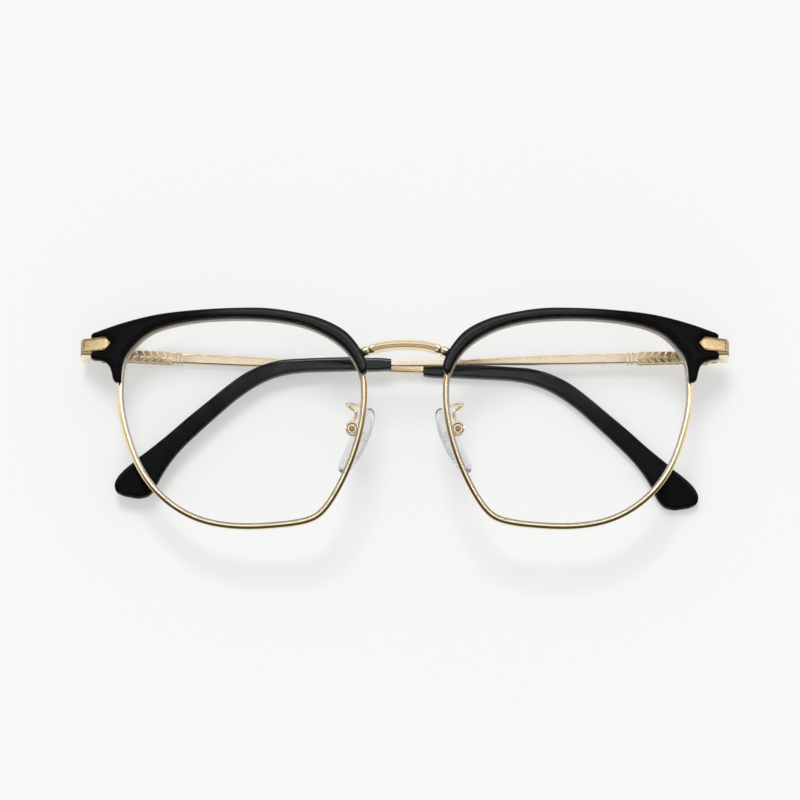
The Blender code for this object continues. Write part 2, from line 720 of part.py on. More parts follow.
def build_hinge_front(maker, side, word):
    """Front leaf with two knuckles, and the hinge screw."""
    front = maker.front
    levels = knuckle_levels(side)
    low, high = levels[0][0], levels[2][1]
    leaf_plan = [(67.9, -10.4), (71.25, -10.4), (71.25, -9.8), (67.9, -9.8)]
    leaf = maker.place("hinge_front_" + word, prism(leaf_plan, low, high, "y"), front, side)
    for index in (0, 2):
        y0, y1 = levels[index]
        barrel = turned(HINGE_X, 0, HINGE_Z, [(y0, KNUCKLE_RADIUS), (y1, KNUCKLE_RADIUS)], "y")
        tag = word + str(index)
        combine(leaf, maker.place("add_barrel_" + tag, barrel, front, side, True), "UNION")
        neck_plan = [(69.2, -11.5), (71.0, -11.5), (71.0, -10.1), (69.2, -10.1)]
        neck = prism(neck_plan, y0, y1, "y")
        combine(leaf, maker.place("add_neck_" + tag, neck, front, side, True), "UNION")
    bore = turned(HINGE_X, 0, HINGE_Z, [(low - 2.0, SCREW_HOLE), (high + 2.0, SCREW_HOLE)], "y")
    cut = maker.place("cut_hinge_" + word, bore, front, side, True)
    combine(leaf, cut, "DIFFERENCE")
    coat(leaf, *GOLD)
    steps = [
        (low + 0.05, SCREW_RADIUS), (high + 0.08, SCREW_RADIUS), (high + 0.08, 0.85),
        (high + 0.45, 0.85),
    ]
    screw = maker.place("hinge_screw_" + word, turned(HINGE_X, 0, HINGE_Z, steps, "y"), front, side)
    coat(screw, *STEEL)


def build_pad(maker, side, word):
    """Wire arm, box, screw and nose pad of one side."""
    front = maker.front
    x, y = PAD_SCREW_X, PAD_SCREW_Y
    path = [
        (9.75, 3.7, -2.35), (10.7, 4.15, -3.2), (12.3, 4.75, -4.4), (12.95, 4.85, -5.3),
        (12.1, 4.35, -6.0), (11.0, 3.5, -5.9), (10.95, 2.3, -5.4), (11.35, 1.5, -4.95),
        (11.75, 1.12, -4.8),
    ]
    arm = maker.place("pad_arm_" + word, wire(path, 0.42), front, side)
    coat(arm, *GOLD)

    box = maker.place(
        "pad_box_" + word, turned(x, y, 0, [(-4.2, 1.5), (-3.75, 1.5), (-3.6, 1.35)], "z"),
        front, side,
    )
    rear = turned(x, y, 0, [(-5.9, 1.3), (-5.3, 1.3)], "z")
    combine(box, maker.place("add_rear_" + word, rear, front, side, True), "UNION")
    web = prism([(11.2, 0.3), (12.5, 0.3), (12.3, 0.95), (11.4, 0.95)], -5.9, -3.7, "z")
    combine(box, maker.place("add_web_" + word, web, front, side, True), "UNION")
    hole = turned(x, y, 0, [(-8.0, PAD_HOLE), (-2.0, PAD_HOLE)], "z")
    cut = maker.place("cut_box_" + word, hole, front, side, True)
    combine(box, cut, "DIFFERENCE")
    coat(box, *GOLD)

    steps = [(-5.85, PAD_SCREW_RADIUS), (-3.5, PAD_SCREW_RADIUS), (-3.5, 0.8), (-3.2, 0.75)]
    screw = maker.place("pad_screw_" + word, turned(x, y, 0, steps, "z"), front, side)
    coat(screw, *STEEL)

    pad = maker.place("nose_pad_" + word, pad_shape(), front, side)
    tongue = maker.place("add_tongue_" + word, tongue_shape(), front, side, True)
    combine(pad, tongue, "UNION")
    combine(pad, cut, "DIFFERENCE")
    coat(pad, *SOFT)


def build_temple(maker, side, word):
    """Moving pieces of one temple: hinge leaf, bar and end sleeve."""
    hinge = maker.hinges[side]
    drop = DROP_LEFT if side > 0 else DROP_RIGHT
    half = KNUCKLE_HEIGHT / 2.0
    barrel = turned(0, 0, 0, [(-half, KNUCKLE_RADIUS), (half, KNUCKLE_RADIUS)], "y")
    leaf = maker.place("hinge_temple_" + word, barrel, hinge, side)
    neck_plan = [(0.3, -1.2), (0.3, -0.6), (-2.0, -0.6), (-2.0, -1.2)]
    neck = prism(neck_plan, -half, half, "y")
    combine(leaf, maker.place("add_leaf_neck_" + word, neck, hinge, side, True), "UNION")
    wide_plan = [(-1.4, -1.2), (-1.4, -0.6), (-5.6, -0.6), (-5.6, -1.2)]
    wide = shear_y(prism(wide_plan, -1.05, 1.05, "y"), 0.0, 0.0)
    combine(leaf, maker.place("add_leaf_wide_" + word, wide, hinge, side, True), "UNION")
    hole = turned(0, 0, 0, [(-4.0, SCREW_HOLE), (4.0, SCREW_HOLE)], "y")
    combine(leaf, maker.place("cut_leaf_" + word, hole, hinge, side, True), "DIFFERENCE")
    coat(leaf, *GOLD)

    arm = maker.place("temple_arm_" + word, arm_shape(drop), hinge, side)
    coat(arm, *GOLD)
    sleeve = maker.place("temple_tip_" + word, sleeve_shape(drop), hinge, side)
    bore = maker.place("cut_bore_" + word, bore_shape(drop), hinge, side, True)
    combine(sleeve, bore, "DIFFERENCE")
    coat(sleeve, *DARK)


def build_bridge(maker):
    """Bridge between the two rims, ending just clear of their outer walls."""
    bridge = maker.place("bridge", bridge_sweep(), maker.front, 1)
    reach = RIM_WIDTH / 2.0 + RIM_CLEARANCE
    trim = rim_sweep([(-2.6, -3.0), (reach, -3.0), (reach, 3.0), (-2.6, 3.0)], closed=True)
    for side, word in ((1, "left"), (-1, "right")):
        cut = maker.place("cut_bridge_end_" + word, trim, maker.front, side, True)
        combine(bridge, cut, "DIFFERENCE")
    coat(bridge, *GOLD)


def main():
    for obj in list(bpy.data.objects):
        bpy.data.objects.remove(obj, do_unlink=True)
    maker = Builder()
    for side, word in ((1, "left"), (-1, "right")):
        build_front(maker, side, word)
        build_temple(maker, side, word)
    build_bridge(maker)


main()
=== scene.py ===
"""Looks for folded browline spectacles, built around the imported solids.

The front lies face up on a pale table. Left and right are the wearer's, so left is at +X.
Shapes are drawn in millimetres for the left side and mirrored for the right side.
"""

import json
import logging
import math
from collections.abc import Callable, Iterable, Iterator, Sequence
from contextlib import contextmanager
from dataclasses import dataclass, field
from enum import Enum

import bpy
import numpy as np
from mathutils import Matrix, Vector
from mathutils.geometry import delaunay_2d_cdt

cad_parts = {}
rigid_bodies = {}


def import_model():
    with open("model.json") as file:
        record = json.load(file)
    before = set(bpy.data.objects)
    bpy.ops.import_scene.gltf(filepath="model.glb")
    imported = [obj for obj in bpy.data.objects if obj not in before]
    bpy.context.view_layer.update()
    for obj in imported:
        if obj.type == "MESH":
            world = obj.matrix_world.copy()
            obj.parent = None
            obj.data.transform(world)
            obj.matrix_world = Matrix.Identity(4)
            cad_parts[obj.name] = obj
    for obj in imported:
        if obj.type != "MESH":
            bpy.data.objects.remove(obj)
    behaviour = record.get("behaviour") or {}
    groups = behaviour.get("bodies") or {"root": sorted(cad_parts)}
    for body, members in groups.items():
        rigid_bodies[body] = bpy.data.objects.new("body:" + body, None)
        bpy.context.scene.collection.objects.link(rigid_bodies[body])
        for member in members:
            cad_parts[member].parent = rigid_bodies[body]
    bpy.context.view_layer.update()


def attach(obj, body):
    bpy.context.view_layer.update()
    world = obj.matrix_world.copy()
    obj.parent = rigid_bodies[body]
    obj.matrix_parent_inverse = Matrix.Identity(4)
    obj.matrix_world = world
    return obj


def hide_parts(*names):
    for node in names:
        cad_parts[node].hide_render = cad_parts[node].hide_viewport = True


for leftover in list(bpy.data.objects):
    bpy.data.objects.remove(leftover, do_unlink=True)
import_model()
LOG = logging.getLogger("spectacles")

MM = 0.001
LENS_CENTRE_X = 36.0
LENS_BASE_RADIUS = 130.0
FACE_WRAP = 0.0787
RIM_CLEARANCE = 0.1
RIM_SPLIT_Y = 14.5
BROW_SCREW_A = 28.6
BROW_SCREW_Y = 19.0
BROW_SCREW_BORE = 0.5

Flat = tuple[float, float]
Colour = tuple[float, float, float]
Mesh = bpy.types.Mesh
Socket = bpy.types.NodeSocket

# Groove line of the rim from the temporal side over the brow, from the lens centre
RIM_POINTS: list[Flat] = [
    (27.65, 9.8), (27.2, 15.7), (25.45, 18.35), (21.55, 22.15), (14.6, 24.05),
    (6.2, 24.7), (-4.05, 24.4), (-12.5, 23.0), (-18.3, 20.55), (-22.55, 17.45),
    (-25.15, 13.95), (-26.5, 10.5), (-26.85, 8.5), (-26.8, 2.5), (-25.6, -4.3),
    (-23.5, -10.65), (-20.65, -16.6), (-17.45, -21.05), (-14.3, -22.65), (-7.9, -23.55),
    (0.0, -23.8), (7.1, -22.7), (12.6, -20.35), (17.6, -16.55), (21.65, -11.65),
    (24.7, -5.3), (27.3, 4.0),
]
# Upper edge of the brow bar from its nasal tip to the upper prong
BAR_TOP: list[Flat] = [
    (-26.75, 10.55), (-27.45, 11.3), (-27.5, 12.7), (-27.2, 13.9), (-25.5, 17.2), (-22.5, 20.7),
    (-17.4, 23.5), (-11.5, 25.1), (-5.3, 26.15), (1.1, 26.4), (10.6, 26.3), (19.8, 25.75),
    (27.6, 24.35), (34.3, 22.55),
]
# Prongs and slot of the wing
BAR_PRONGS: list[Flat] = [
    (34.3, 22.55), (34.85, 22.2), (34.85, 21.42), (31.75, 21.42), (31.2, 21.2), (30.2, 19.85),
    (30.02, 19.45), (30.2, 19.05), (31.2, 17.85), (31.75, 17.64), (34.5, 17.64), (34.75, 17.3),
    (34.68, 16.5),
]
# Sweep of the wing down to its lobe
BAR_SWEEP: list[Flat] = [
    (34.68, 16.5), (34.2, 16.08), (33.1, 15.72), (31.4, 15.1), (30.3, 13.95), (29.65, 12.3),
    (29.25, 10.65), (28.85, 10.1), (28.2, 9.8), (27.65, 9.6),
]
# Upper and lower edge of the temple end, as distance along the temple and drop below its line
TIP_UPPER: list[Flat] = [
    (73.2, -1.44), (83.4, -1.6), (93.4, -1.48), (97.8, -1.25), (102.0, -0.25), (106.3, 1.75),
    (110.6, 4.9), (114.7, 8.35), (118.8, 11.8), (123.6, 16.1), (128.1, 19.8), (131.8, 22.6),
    (134.1, 24.9), (135.0, 26.9), (134.6, 28.5), (133.0, 29.5),
]
TIP_LOWER: list[Flat] = [
    (73.2, 1.44), (83.4, 1.5), (93.4, 1.6), (97.0, 2.05), (100.4, 3.0), (104.1, 4.85),
    (108.2, 7.75), (112.1, 11.2), (116.3, 15.1), (119.9, 18.7), (122.5, 22.0), (124.1, 24.6),
    (125.3, 26.9), (126.1, 28.3), (127.4, 29.6), (129.4, 30.2),
]


class Side(Enum):
    """The wearer's two sides."""

    LEFT = 1
    RIGHT = -1

    @property
    def word(self) -> str:
        """The side's word in names."""
        return self.name.lower()

    def mirror(self, p: Vector) -> Vector:
        """A point drawn for the left side, moved to this side."""
        return Vector((p.x * self.value, p.y, p.z))


@dataclass(frozen=True)
class Stance:
    """How the front and the folded temples lie on the table."""

    hinge_x: float = 70.1
    hinge_z: float = -11.6
    hinge_y_left: float = 18.8
    hinge_y_right: float = 19.3
    drop_left: float = 0.0275
    drop_right: float = 0.043
    stack_pitch: float = 2.38
    panel_outer: float = 3.2
    centre_x: float = 0.1744
    centre_y: float = 0.9278

    @property
    def tilt(self) -> float:
        """Lean of the front over its crossed temples, in radians."""
        return math.asin(self.stack_pitch / (2.0 * self.hinge_x))

    @property
    def base_z(self) -> float:
        """Height of the front's own frame over the table."""
        rise = self.hinge_x * math.sin(self.tilt)
        return self.panel_outer + rise - self.hinge_z * math.cos(self.tilt)

    def front(self) -> Matrix:
        """Placement of the front, in metres."""
        shift = Matrix.Translation(Vector((-self.centre_x, -self.centre_y, self.base_z)) * MM)
        return shift @ Matrix.Rotation(-self.tilt, 4, "Y")

    def hinge_y(self, side: Side) -> float:
        """Middle of one hinge."""
        return self.hinge_y_left if side is Side.LEFT else self.hinge_y_right

    def hinge(self, side: Side) -> Matrix:
        """Placement of one temple at its hinge axis, in metres.

        Args:
            side: The side of the temple.

        Returns:
            The placement.
        """
        turn = Matrix.Rotation(-self.tilt, 3, "Y")
        spot = turn @ Vector((side.value * self.hinge_x, 0.0, self.hinge_z))
        across = self.hinge_y(side) - self.centre_y
        return Matrix.Translation(Vector((spot.x - self.centre_x, across, spot.z + self.base_z)) * MM)

    def drop(self, side: Side) -> float:
        """Slope of one folded temple towards the chin."""
        return self.drop_left if side is Side.LEFT else self.drop_right


STANCE = Stance()


def catmull(points: Sequence, per_span: int, closed: bool = False) -> list[Vector]:
    """Smooth centripetal curve through points.

    Args:
        points: The points, flat or in space.
        per_span: Samples for each span.
        closed: Whether the last point leads back to the first.

    Returns:
        The samples as vectors.
    """
    def between(p: Vector, q: Vector, low: float, high: float, t: float) -> Vector:
        """Point on the line through p and q, which stand at low and high."""
        return p * ((high - t) / (high - low)) + q * ((t - low) / (high - low))

    spots = [Vector(p) for p in points]
    if closed:
        spots = [spots[-1], *spots, spots[0], spots[1]]
    else:
        spots = [spots[0] * 2.0 - spots[1], *spots, spots[-1] * 2.0 - spots[-2]]
    out = []
    for p0, p1, p2, p3 in zip(spots, spots[1:], spots[2:], spots[3:]):
        t1 = max((p1 - p0).length ** 0.5, 1e-6)
        t2 = t1 + max((p2 - p1).length ** 0.5, 1e-6)
        t3 = t2 + max((p3 - p2).length ** 0.5, 1e-6)
        for k in range(per_span):
            t = t1 + (t2 - t1) * k / per_span
            middle = between(p1, p2, t1, t2, t)
            first = between(between(p0, p1, 0.0, t1, t), middle, 0.0, t2, t)
            last = between(middle, between(p2, p3, t2, t3, t), t1, t3, t)
            out.append(between(first, last, t1, t2, t))
    return out if closed else out + [spots[-2].copy()]


def soften(points: Sequence, reach: float, steps: int = 4) -> list[Vector]:
    """Open polyline with each inner corner rounded.

    Args:
        points: Its corners.
        reach: How far from a corner its rounding starts.
        steps: Samples of each rounding.

    Returns:
        The rounded polyline.
    """
    points = [Vector(p) for p in points]
    out = [points[0]]
    for back, here, ahead in zip(points, points[1:], points[2:]):
        first = here + (back - here) * min(0.45, reach / (back - here).length)
        last = here + (ahead - here) * min(0.45, reach / (ahead - here).length)
        for k in range(steps + 1):
            t = k / steps
            out.append(first * (1 - t) ** 2 + here * (2 * t * (1 - t)) + last * t * t)
    return out + [points[-1]]


def dome(a: float, y: float) -> float:
    """Height of the front surface at a temporal distance a from the lens centre."""
    return -FACE_WRAP * a - (a * a + y * y) / (2.0 * LENS_BASE_RADIUS)


def on_dome(a: float, y: float, height: float = 0.0) -> Vector:
    """Point over the front surface, in the frame of the front."""
    return Vector((LENS_CENTRE_X + a, y, dome(a, y) + height))


def dome_normal(a: float, y: float) -> Vector:
    """Outward normal of the front surface."""
    return Vector((FACE_WRAP + a / LENS_BASE_RADIUS, y / LENS_BASE_RADIUS, 1.0)).normalized()


def heading(line: Sequence[Vector], i: int) -> Vector:
    """Direction of a line at one of its points."""
    return (line[min(i + 1, len(line) - 1)] - line[max(i - 1, 0)]).normalized()


class RimLine:
    """Groove line of the rim, measured from the slit on the temporal side."""

    def __init__(self) -> None:
        """Samples the line densely and evens it out."""
        dense = catmull(RIM_POINTS, 16, True)
        count = len(dense)
        for _ in range(3):
            dense = [
                (dense[i - 4] + dense[i] * 2.0 + dense[(i + 4) % count]) / 4.0 for i in range(count)
            ]
        temporal = [i for i in range(count) if dense[i].x >= 0.0]
        start = min(temporal, key=lambda i: abs(dense[i].y - RIM_SPLIT_Y))
        dense = dense[start:] + dense[:start] + [dense[start]]
        steps = [(q - p).length for p, q in zip(dense, dense[1:])]
        self.lengths = np.concatenate([[0.0], np.cumsum(steps)])
        self.xs, self.ys = np.array([tuple(p) for p in dense]).T
        self.total = float(self.lengths[-1])

    def flat(self, distance: float) -> Vector:
        """Temporal and upward position at a distance along the line."""
        distance = distance % self.total
        return Vector([float(np.interp(distance, self.lengths, axis)) for axis in (self.xs, self.ys)])

    def frame(self, distance: float) -> tuple[Vector, Vector, Vector]:
        """Position, outward direction and normal at a distance along the line.

        Args:
            distance: The distance along the line.

        Returns:
            The position, the outward direction and the normal.
        """
        p, before, after = (self.flat(distance + step) for step in (0.0, -0.6, 0.6))
        tangent = (on_dome(after.x, after.y) - on_dome(before.x, before.y)).normalized()
        outward = tangent.cross(dome_normal(p.x, p.y)).normalized()
        return on_dome(p.x, p.y), outward, outward.cross(tangent).normalized()

    def at(self, distance: float, b: float, n: float) -> Vector:
        """Point offset outward by b and forward by n from the groove line."""
        here, outward, normal = self.frame(distance)
        return here + outward * b + normal * n

    def channel(self, section: Sequence[Flat], count: int) -> "Shape":
        """Skin of a section of (outward, forward) points taken round the whole line."""
        stops = [self.total * i / count for i in range(count)]
        return loft([[self.at(s, b, n) for b, n in section] for s in stops], True)


RIM = RimLine()


@dataclass
class Shape:
    """A closed skin in millimetres, with values at its points and a finish for each face."""

    points: list[Vector]
    faces: list[tuple[int, ...]]
    finishes: list[int] = field(default_factory=list)
    marks: dict[str, list[float]] = field(default_factory=dict)

    def moved(self, change: Callable[[Vector], Vector]) -> "Shape":
        """The same skin with each point passed through a function."""
        return Shape([change(p) for p in self.points], self.faces, self.finishes, self.marks)

    def mesh(self, place: Matrix, side: Side = Side.LEFT) -> Mesh:
        """Makes the Blender mesh in metres, with its faces outwards.

        Args:
            place: Placement of the drawing's frame.
            side: The side it is made for.

        Returns:
            The mesh.
        """
        made = bpy.data.meshes.new("shape")
        made.from_pydata([place @ (side.mirror(p) * MM) for p in self.points], [], self.faces)
        if self.finishes:
            made.polygons.foreach_set("material_index", self.finishes)
        for key, values in self.marks.items():
            made.attributes.new(key, "FLOAT", "POINT").data.foreach_set("value", values)
        face_outwards(made)
        return made


def face_outwards(mesh: Mesh) -> None:
    """Turns the faces of a closed mesh round if its volume is negative.

    Args:
        mesh: The mesh.
    """
    mesh.calc_loop_triangles()
    corners = np.empty(len(mesh.loop_triangles) * 3, np.int32)
    mesh.loop_triangles.foreach_get("vertices", corners)
    spots = np.empty(len(mesh.vertices) * 3, np.float32)
    mesh.vertices.foreach_get("co", spots)
    spots = spots.reshape(-1, 3).astype(float)
    spots -= spots.mean(axis=0)
    a, b, c = (spots[corners.reshape(-1, 3)[:, k]] for k in range(3))
    if float(np.einsum("ij,ij->i", a, np.cross(b, c)).sum()) < 0.0:
        mesh.flip_normals()


def arc(centre: Flat, radius: float, start: float, stop: float, steps: int) -> list[Flat]:
    """Points of an arc between two angles in degrees, with a number of spans."""
    angles = [math.radians(start + (stop - start) * k / steps) for k in range(steps + 1)]
    return [(centre[0] + radius * math.cos(t), centre[1] + radius * math.sin(t)) for t in angles]


def circle(radius: float, count: int) -> list[Flat]:
    """Points of a circle about the origin, counter-clockwise."""
    return arc((0.0, 0.0), radius, 0.0, 360.0, count)[:-1]


def facet_box(half_w: float, low: float, high: float, facet: float) -> list[Flat]:
    """Flat section of (width, depth) points with a facet along each of its four edges.

    Args:
        half_w: Half of its width.
        low: Depth at which it starts.
        high: Depth at which it ends.
        facet: Width of each facet.

    Returns:
        The points of the section, in order.
    """
    falls = [
        (facet + 0.03, 0.0), (facet - 0.02, 0.014), (0.035, 0.6 * facet), (0.0, 0.78 * facet),
        (0.0, 1.1 * facet),
    ]
    far = [(half_w - e, high - fall) for e, fall in falls]
    near = [(half_w - e, low + fall) for e, fall in reversed(falls)]
    right = [(0.5 * half_w, high)] + far + near + [(0.5 * half_w, low)]
    return [(0.0, high)] + right + [(0.0, low)] + [(-w, d) for w, d in reversed(right)]


def shoulder_box(half_w: float, low: float, high: float) -> list[Flat]:
    """Section with a slow shoulder towards each edge, as a moulded sleeve has.

    Args:
        half_w: Half of its width.
        low: Depth at which it starts.
        high: Depth at which it ends.

    Returns:
        The points of the section, in order.
    """
    steps = [
        (1.25, 0.0), (1.1, 0.008), (1.0, 0.024), (0.85, 0.054), (0.7, 0.09), (0.55, 0.131),
        (0.42, 0.175), (0.3, 0.232), (0.18, 0.33), (0.08, 0.46), (0.02, 0.62), (0.0, 0.82),
    ]
    wide, flat = min(1.0, half_w / 1.4), min(1.0, (high - low) / 1.8)
    right = [(half_w - e * wide, high - fall * flat) for e, fall in steps]
    right += [(half_w - e * wide, low + fall * flat) for e, fall in reversed(steps)]
    return [(0.0, high)] + right + [(0.0, low)] + [(-w, d) for w, d in reversed(right)]


def loft(rings: Sequence[Sequence[Vector]], closed: bool = False) -> Shape:
    """Skin over rings of equal length, with its ends capped unless it closes on itself.

    Args:
        rings: The rings, in order.
        closed: Whether the last ring leads back to the first.

    Returns:
        The shape, marked with the distance along and around it.
    """
    size, count = len(rings[0]), len(rings)
    points = [p for ring in rings for p in ring]
    middles = [sum(ring, Vector((0.0, 0.0, 0.0))) / size for ring in rings]
    along: list[float] = []
    around: list[float] = []
    walked = 0.0
    for i, ring in enumerate(rings):
        walked += (middles[i] - middles[i - 1]).length if i else 0.0
        girth = 0.0
        for j, p in enumerate(ring):
            girth += (p - ring[j - 1]).length if j else 0.0
            along.append(walked)
            around.append(girth)
    faces: list[tuple[int, ...]] = []
    for i in range(count if closed else count - 1):
        first, second = i * size, ((i + 1) % count) * size
        for j in range(size):
            k = (j + 1) % size
            faces.append((first + j, first + k, second + k, second + j))
    for which in () if closed else (0, count - 1):
        points.append(middles[which])
        along.append(along[which * size])
        around.append(0.0)
        for j in range(size):
            edge = (which * size + (j + 1) % size, which * size + j, len(points) - 1)
            faces.append(edge if which == 0 else edge[::-1])
    return Shape(points, faces, [], {"along": along, "around": around})


def lathe(steps: Iterable[Flat], count: int = 40) -> Shape:
    """Turned solid about Z over (radius, height) steps."""
    return loft([[Vector((x, y, h)) for x, y in circle(r, count)] for r, h in steps])


def rod(radius: float, low: float, high: float) -> Shape:
    """Plain rod about Z."""
    return lathe([(radius, low), (radius, high)])


def drum(radius: float, low: float, high: float, edge: float = 0.1) -> list[Flat]:
    """Steps of a turned drum with a rounded lower edge and a slightly dished top."""
    lower = [(x, low + edge + y) for x, y in arc((radius - edge, 0.0), edge, -90, 0, 3)]
    return lower + [(x, y + high - low - 2.0 * edge) for x, y in reversed(lower)]


def upright(shape: Shape, x: float, z: float) -> Shape:
    """Turned solid laid along Y, with its axis through (x, z)."""
    return shape.moved(lambda p: Vector((p.x + x, p.z, z - p.y)))


def prism(outline: Sequence[Flat], low: float, high: float, axis: str) -> Shape:
    """Straight prism over an outline.

    Args:
        outline: (x, z) points for axis y or (x, y) points for axis z.
        low: Where it starts along its axis.
        high: Where it ends.
        axis: Either y or z.

    Returns:
        The shape.
    """
    points = [
        Vector((u, level, v)) if axis == "y" else Vector((u, v, level))
        for level in (low, high) for u, v in outline
    ]
    size = len(outline)
    faces: list[tuple[int, ...]] = [tuple(range(size - 1, -1, -1)), tuple(range(size, 2 * size))]
    faces += [(j, (j + 1) % size, size + (j + 1) % size, size + j) for j in range(size)]
    return Shape(points, faces)


def even(outline: Sequence[Vector], most: float) -> list[Vector]:
    """Closed outline with no edge longer than a given length, counter-clockwise.

    Args:
        outline: The outline.
        most: The longest edge that it may have.

    Returns:
        The points of the new outline.
    """
    pairs = list(zip(outline, [*outline[1:], outline[0]]))
    if sum(p.x * q.y - q.x * p.y for p, q in pairs) <= 0.0:
        turned = outline[::-1]
        pairs = list(zip(turned, [*turned[1:], turned[0]]))
    out: list[Vector] = []
    for p, q in pairs:
        if (q - p).length >= 0.02:
            parts = max(1, math.ceil((q - p).length / most))
            out += [p.lerp(q, k / parts) for k in range(parts)]
    return out


def distances(spots: np.ndarray, outline: np.ndarray) -> np.ndarray:
    """Distance of each flat spot from a closed outline, negative outside it.

    Args:
        spots: Flat spots, one in each row.
        outline: Corners of the outline, one in each row.

    Returns:
        One distance for each spot.
    """
    best = np.full(len(spots), 1e9)
    inside = np.zeros(len(spots), bool)
    for (ax, ay), (bx, by) in zip(outline, np.roll(outline, -1, axis=0)):
        ex, ey = bx - ax, by - ay
        t = ((spots[:, 0] - ax) * ex + (spots[:, 1] - ay) * ey) / max(ex * ex + ey * ey, 1e-12)
        t = np.clip(t, 0.0, 1.0)
        best = np.minimum(best, np.hypot(spots[:, 0] - ax - t * ex, spots[:, 1] - ay - t * ey))
        if ay != by:
            over = (ay > spots[:, 1]) != (by > spots[:, 1])
            inside ^= over & (spots[:, 0] < ax + (spots[:, 1] - ay) * ex / (by - ay))
    return np.where(inside, best, -best)


def plate(
    outline: Sequence[Vector], back: float, height: Callable[[np.ndarray], np.ndarray],
    rows: Sequence[float], pitch: float, draft: Callable[[Vector, Vector], Vector] | None = None,
) -> Shape:
    """Thick plate that follows the front surface, with a shaped front edge.

    Args:
        outline: Closed flat outline, as temporal and upward points.
        back: Height of its rear face over the front surface.
        height: Front height for distances from the outline.
        rows: Distances from the outline at which the front gets a row of points.
        pitch: Spacing of the points inside the last row.
        draft: Shift of a point of the rear outline, from its place and inward direction.

    Returns:
        The shape, marked with the distance from the outline.
    """
    outline = even(outline, pitch * 1.3)
    size = len(outline)
    ring = np.array([tuple(p) for p in outline])
    ahead = np.roll(ring, -1, axis=0) - np.roll(ring, 1, axis=0)
    ahead /= np.linalg.norm(ahead, axis=1)[:, None]
    inward = np.stack([-ahead[:, 1], ahead[:, 0]], axis=1)
    kept = [ring]
    for row in rows:
        spots = ring + inward * row
        spots = spots[distances(spots, ring) > row - 0.012]
        kept.append(spots[:: 1 if row < pitch else 2])
    low, high = ring.min(axis=0), ring.max(axis=0)
    xs, ys = np.arange(low[0], high[0], pitch), np.arange(low[1], high[1], pitch * 0.866)
    grid = np.array([(x + (pitch / 2 if j % 2 else 0.0), y) for j, y in enumerate(ys) for x in xs])
    kept.append(grid[distances(grid, ring) > rows[-1] + pitch * 0.6])
    edges = [(j, (j + 1) % size) for j in range(size)]
    found = delaunay_2d_cdt([Vector(p) for p in np.concatenate(kept)], edges, [], 1, 1e-6)
    flat = np.array([tuple(p) for p in found[0]])
    where = {ids[0]: i for i, ids in enumerate(found[3]) if ids and ids[0] < size}
    gaps = np.maximum(distances(flat, ring), 0.0)
    gaps[list(where.values())] = 0.0
    points = [on_dome(x, y, z) for (x, y), z in zip(flat, height(gaps))]
    faces = [tuple(face) for face in found[2]]
    base = len(points)
    rear = [p + draft(p, Vector(way)) if draft else p for p, way in zip(outline, inward)]
    points += [on_dome(p.x, p.y, back) for p in rear]
    for j, k in edges:
        faces.append((base + j, base + k, where[k], where[j]))
    under = delaunay_2d_cdt([Vector(p) for p in rear], edges, [], 1, 1e-7)
    faces += [tuple(base + under[3][c][0] for c in reversed(face)) for face in under[2]]
    return Shape(points, faces, [], {"edge": list(gaps) + [0.0] * size})


@contextmanager
def placed(mesh: Mesh) -> Iterator[bpy.types.Object]:
    """A short-lived object of a mesh in the scene.

    Args:
        mesh: The mesh.

    Returns:
        An iterator that gives the object once.
    """
    held = bpy.data.objects.new("held", mesh)
    bpy.context.scene.collection.objects.link(held)
    yield held
    bpy.data.objects.remove(held, do_unlink=True)


def modified(mesh: Mesh, kind: str, **settings: object) -> Mesh:
    """Plain mesh of a mesh with one modifier.

    Args:
        mesh: The mesh that goes in.
        kind: The modifier's type.
        **settings: Its properties, or inputs of its node tree.

    Returns:
        The new mesh.
    """
    with placed(mesh) as host:
        modifier = host.modifiers.new("shape", kind)
        for key, value in settings.items():
            if hasattr(modifier, key):
                setattr(modifier, key, value)
            else:
                modifier[key] = value
        graph = bpy.context.evaluated_depsgraph_get()
        made = bpy.data.meshes.new_from_object(host.evaluated_get(graph))
    if not made.polygons:
        raise ValueError("nothing is left of a mesh after " + kind)
    return made


def carve(mesh: Mesh, other: Mesh, operation: str = "DIFFERENCE") -> Mesh:
    """Exact Boolean of two closed meshes."""
    with placed(other) as tool:
        return modified(mesh, "BOOLEAN", operation=operation, solver="EXACT", object=tool)


def bevel(mesh: Mesh, width: float) -> Mesh:
    """Mesh with its sharp edges rounded over a width in millimetres."""
    return modified(
        mesh, "BEVEL", width=width * MM, segments=3, limit_method="ANGLE",
        angle_limit=math.radians(28.0),
    )


class Coordinate(Enum):
    """What a finish's pattern is measured on."""

    PLACE = "place"
    TRACK = "track"


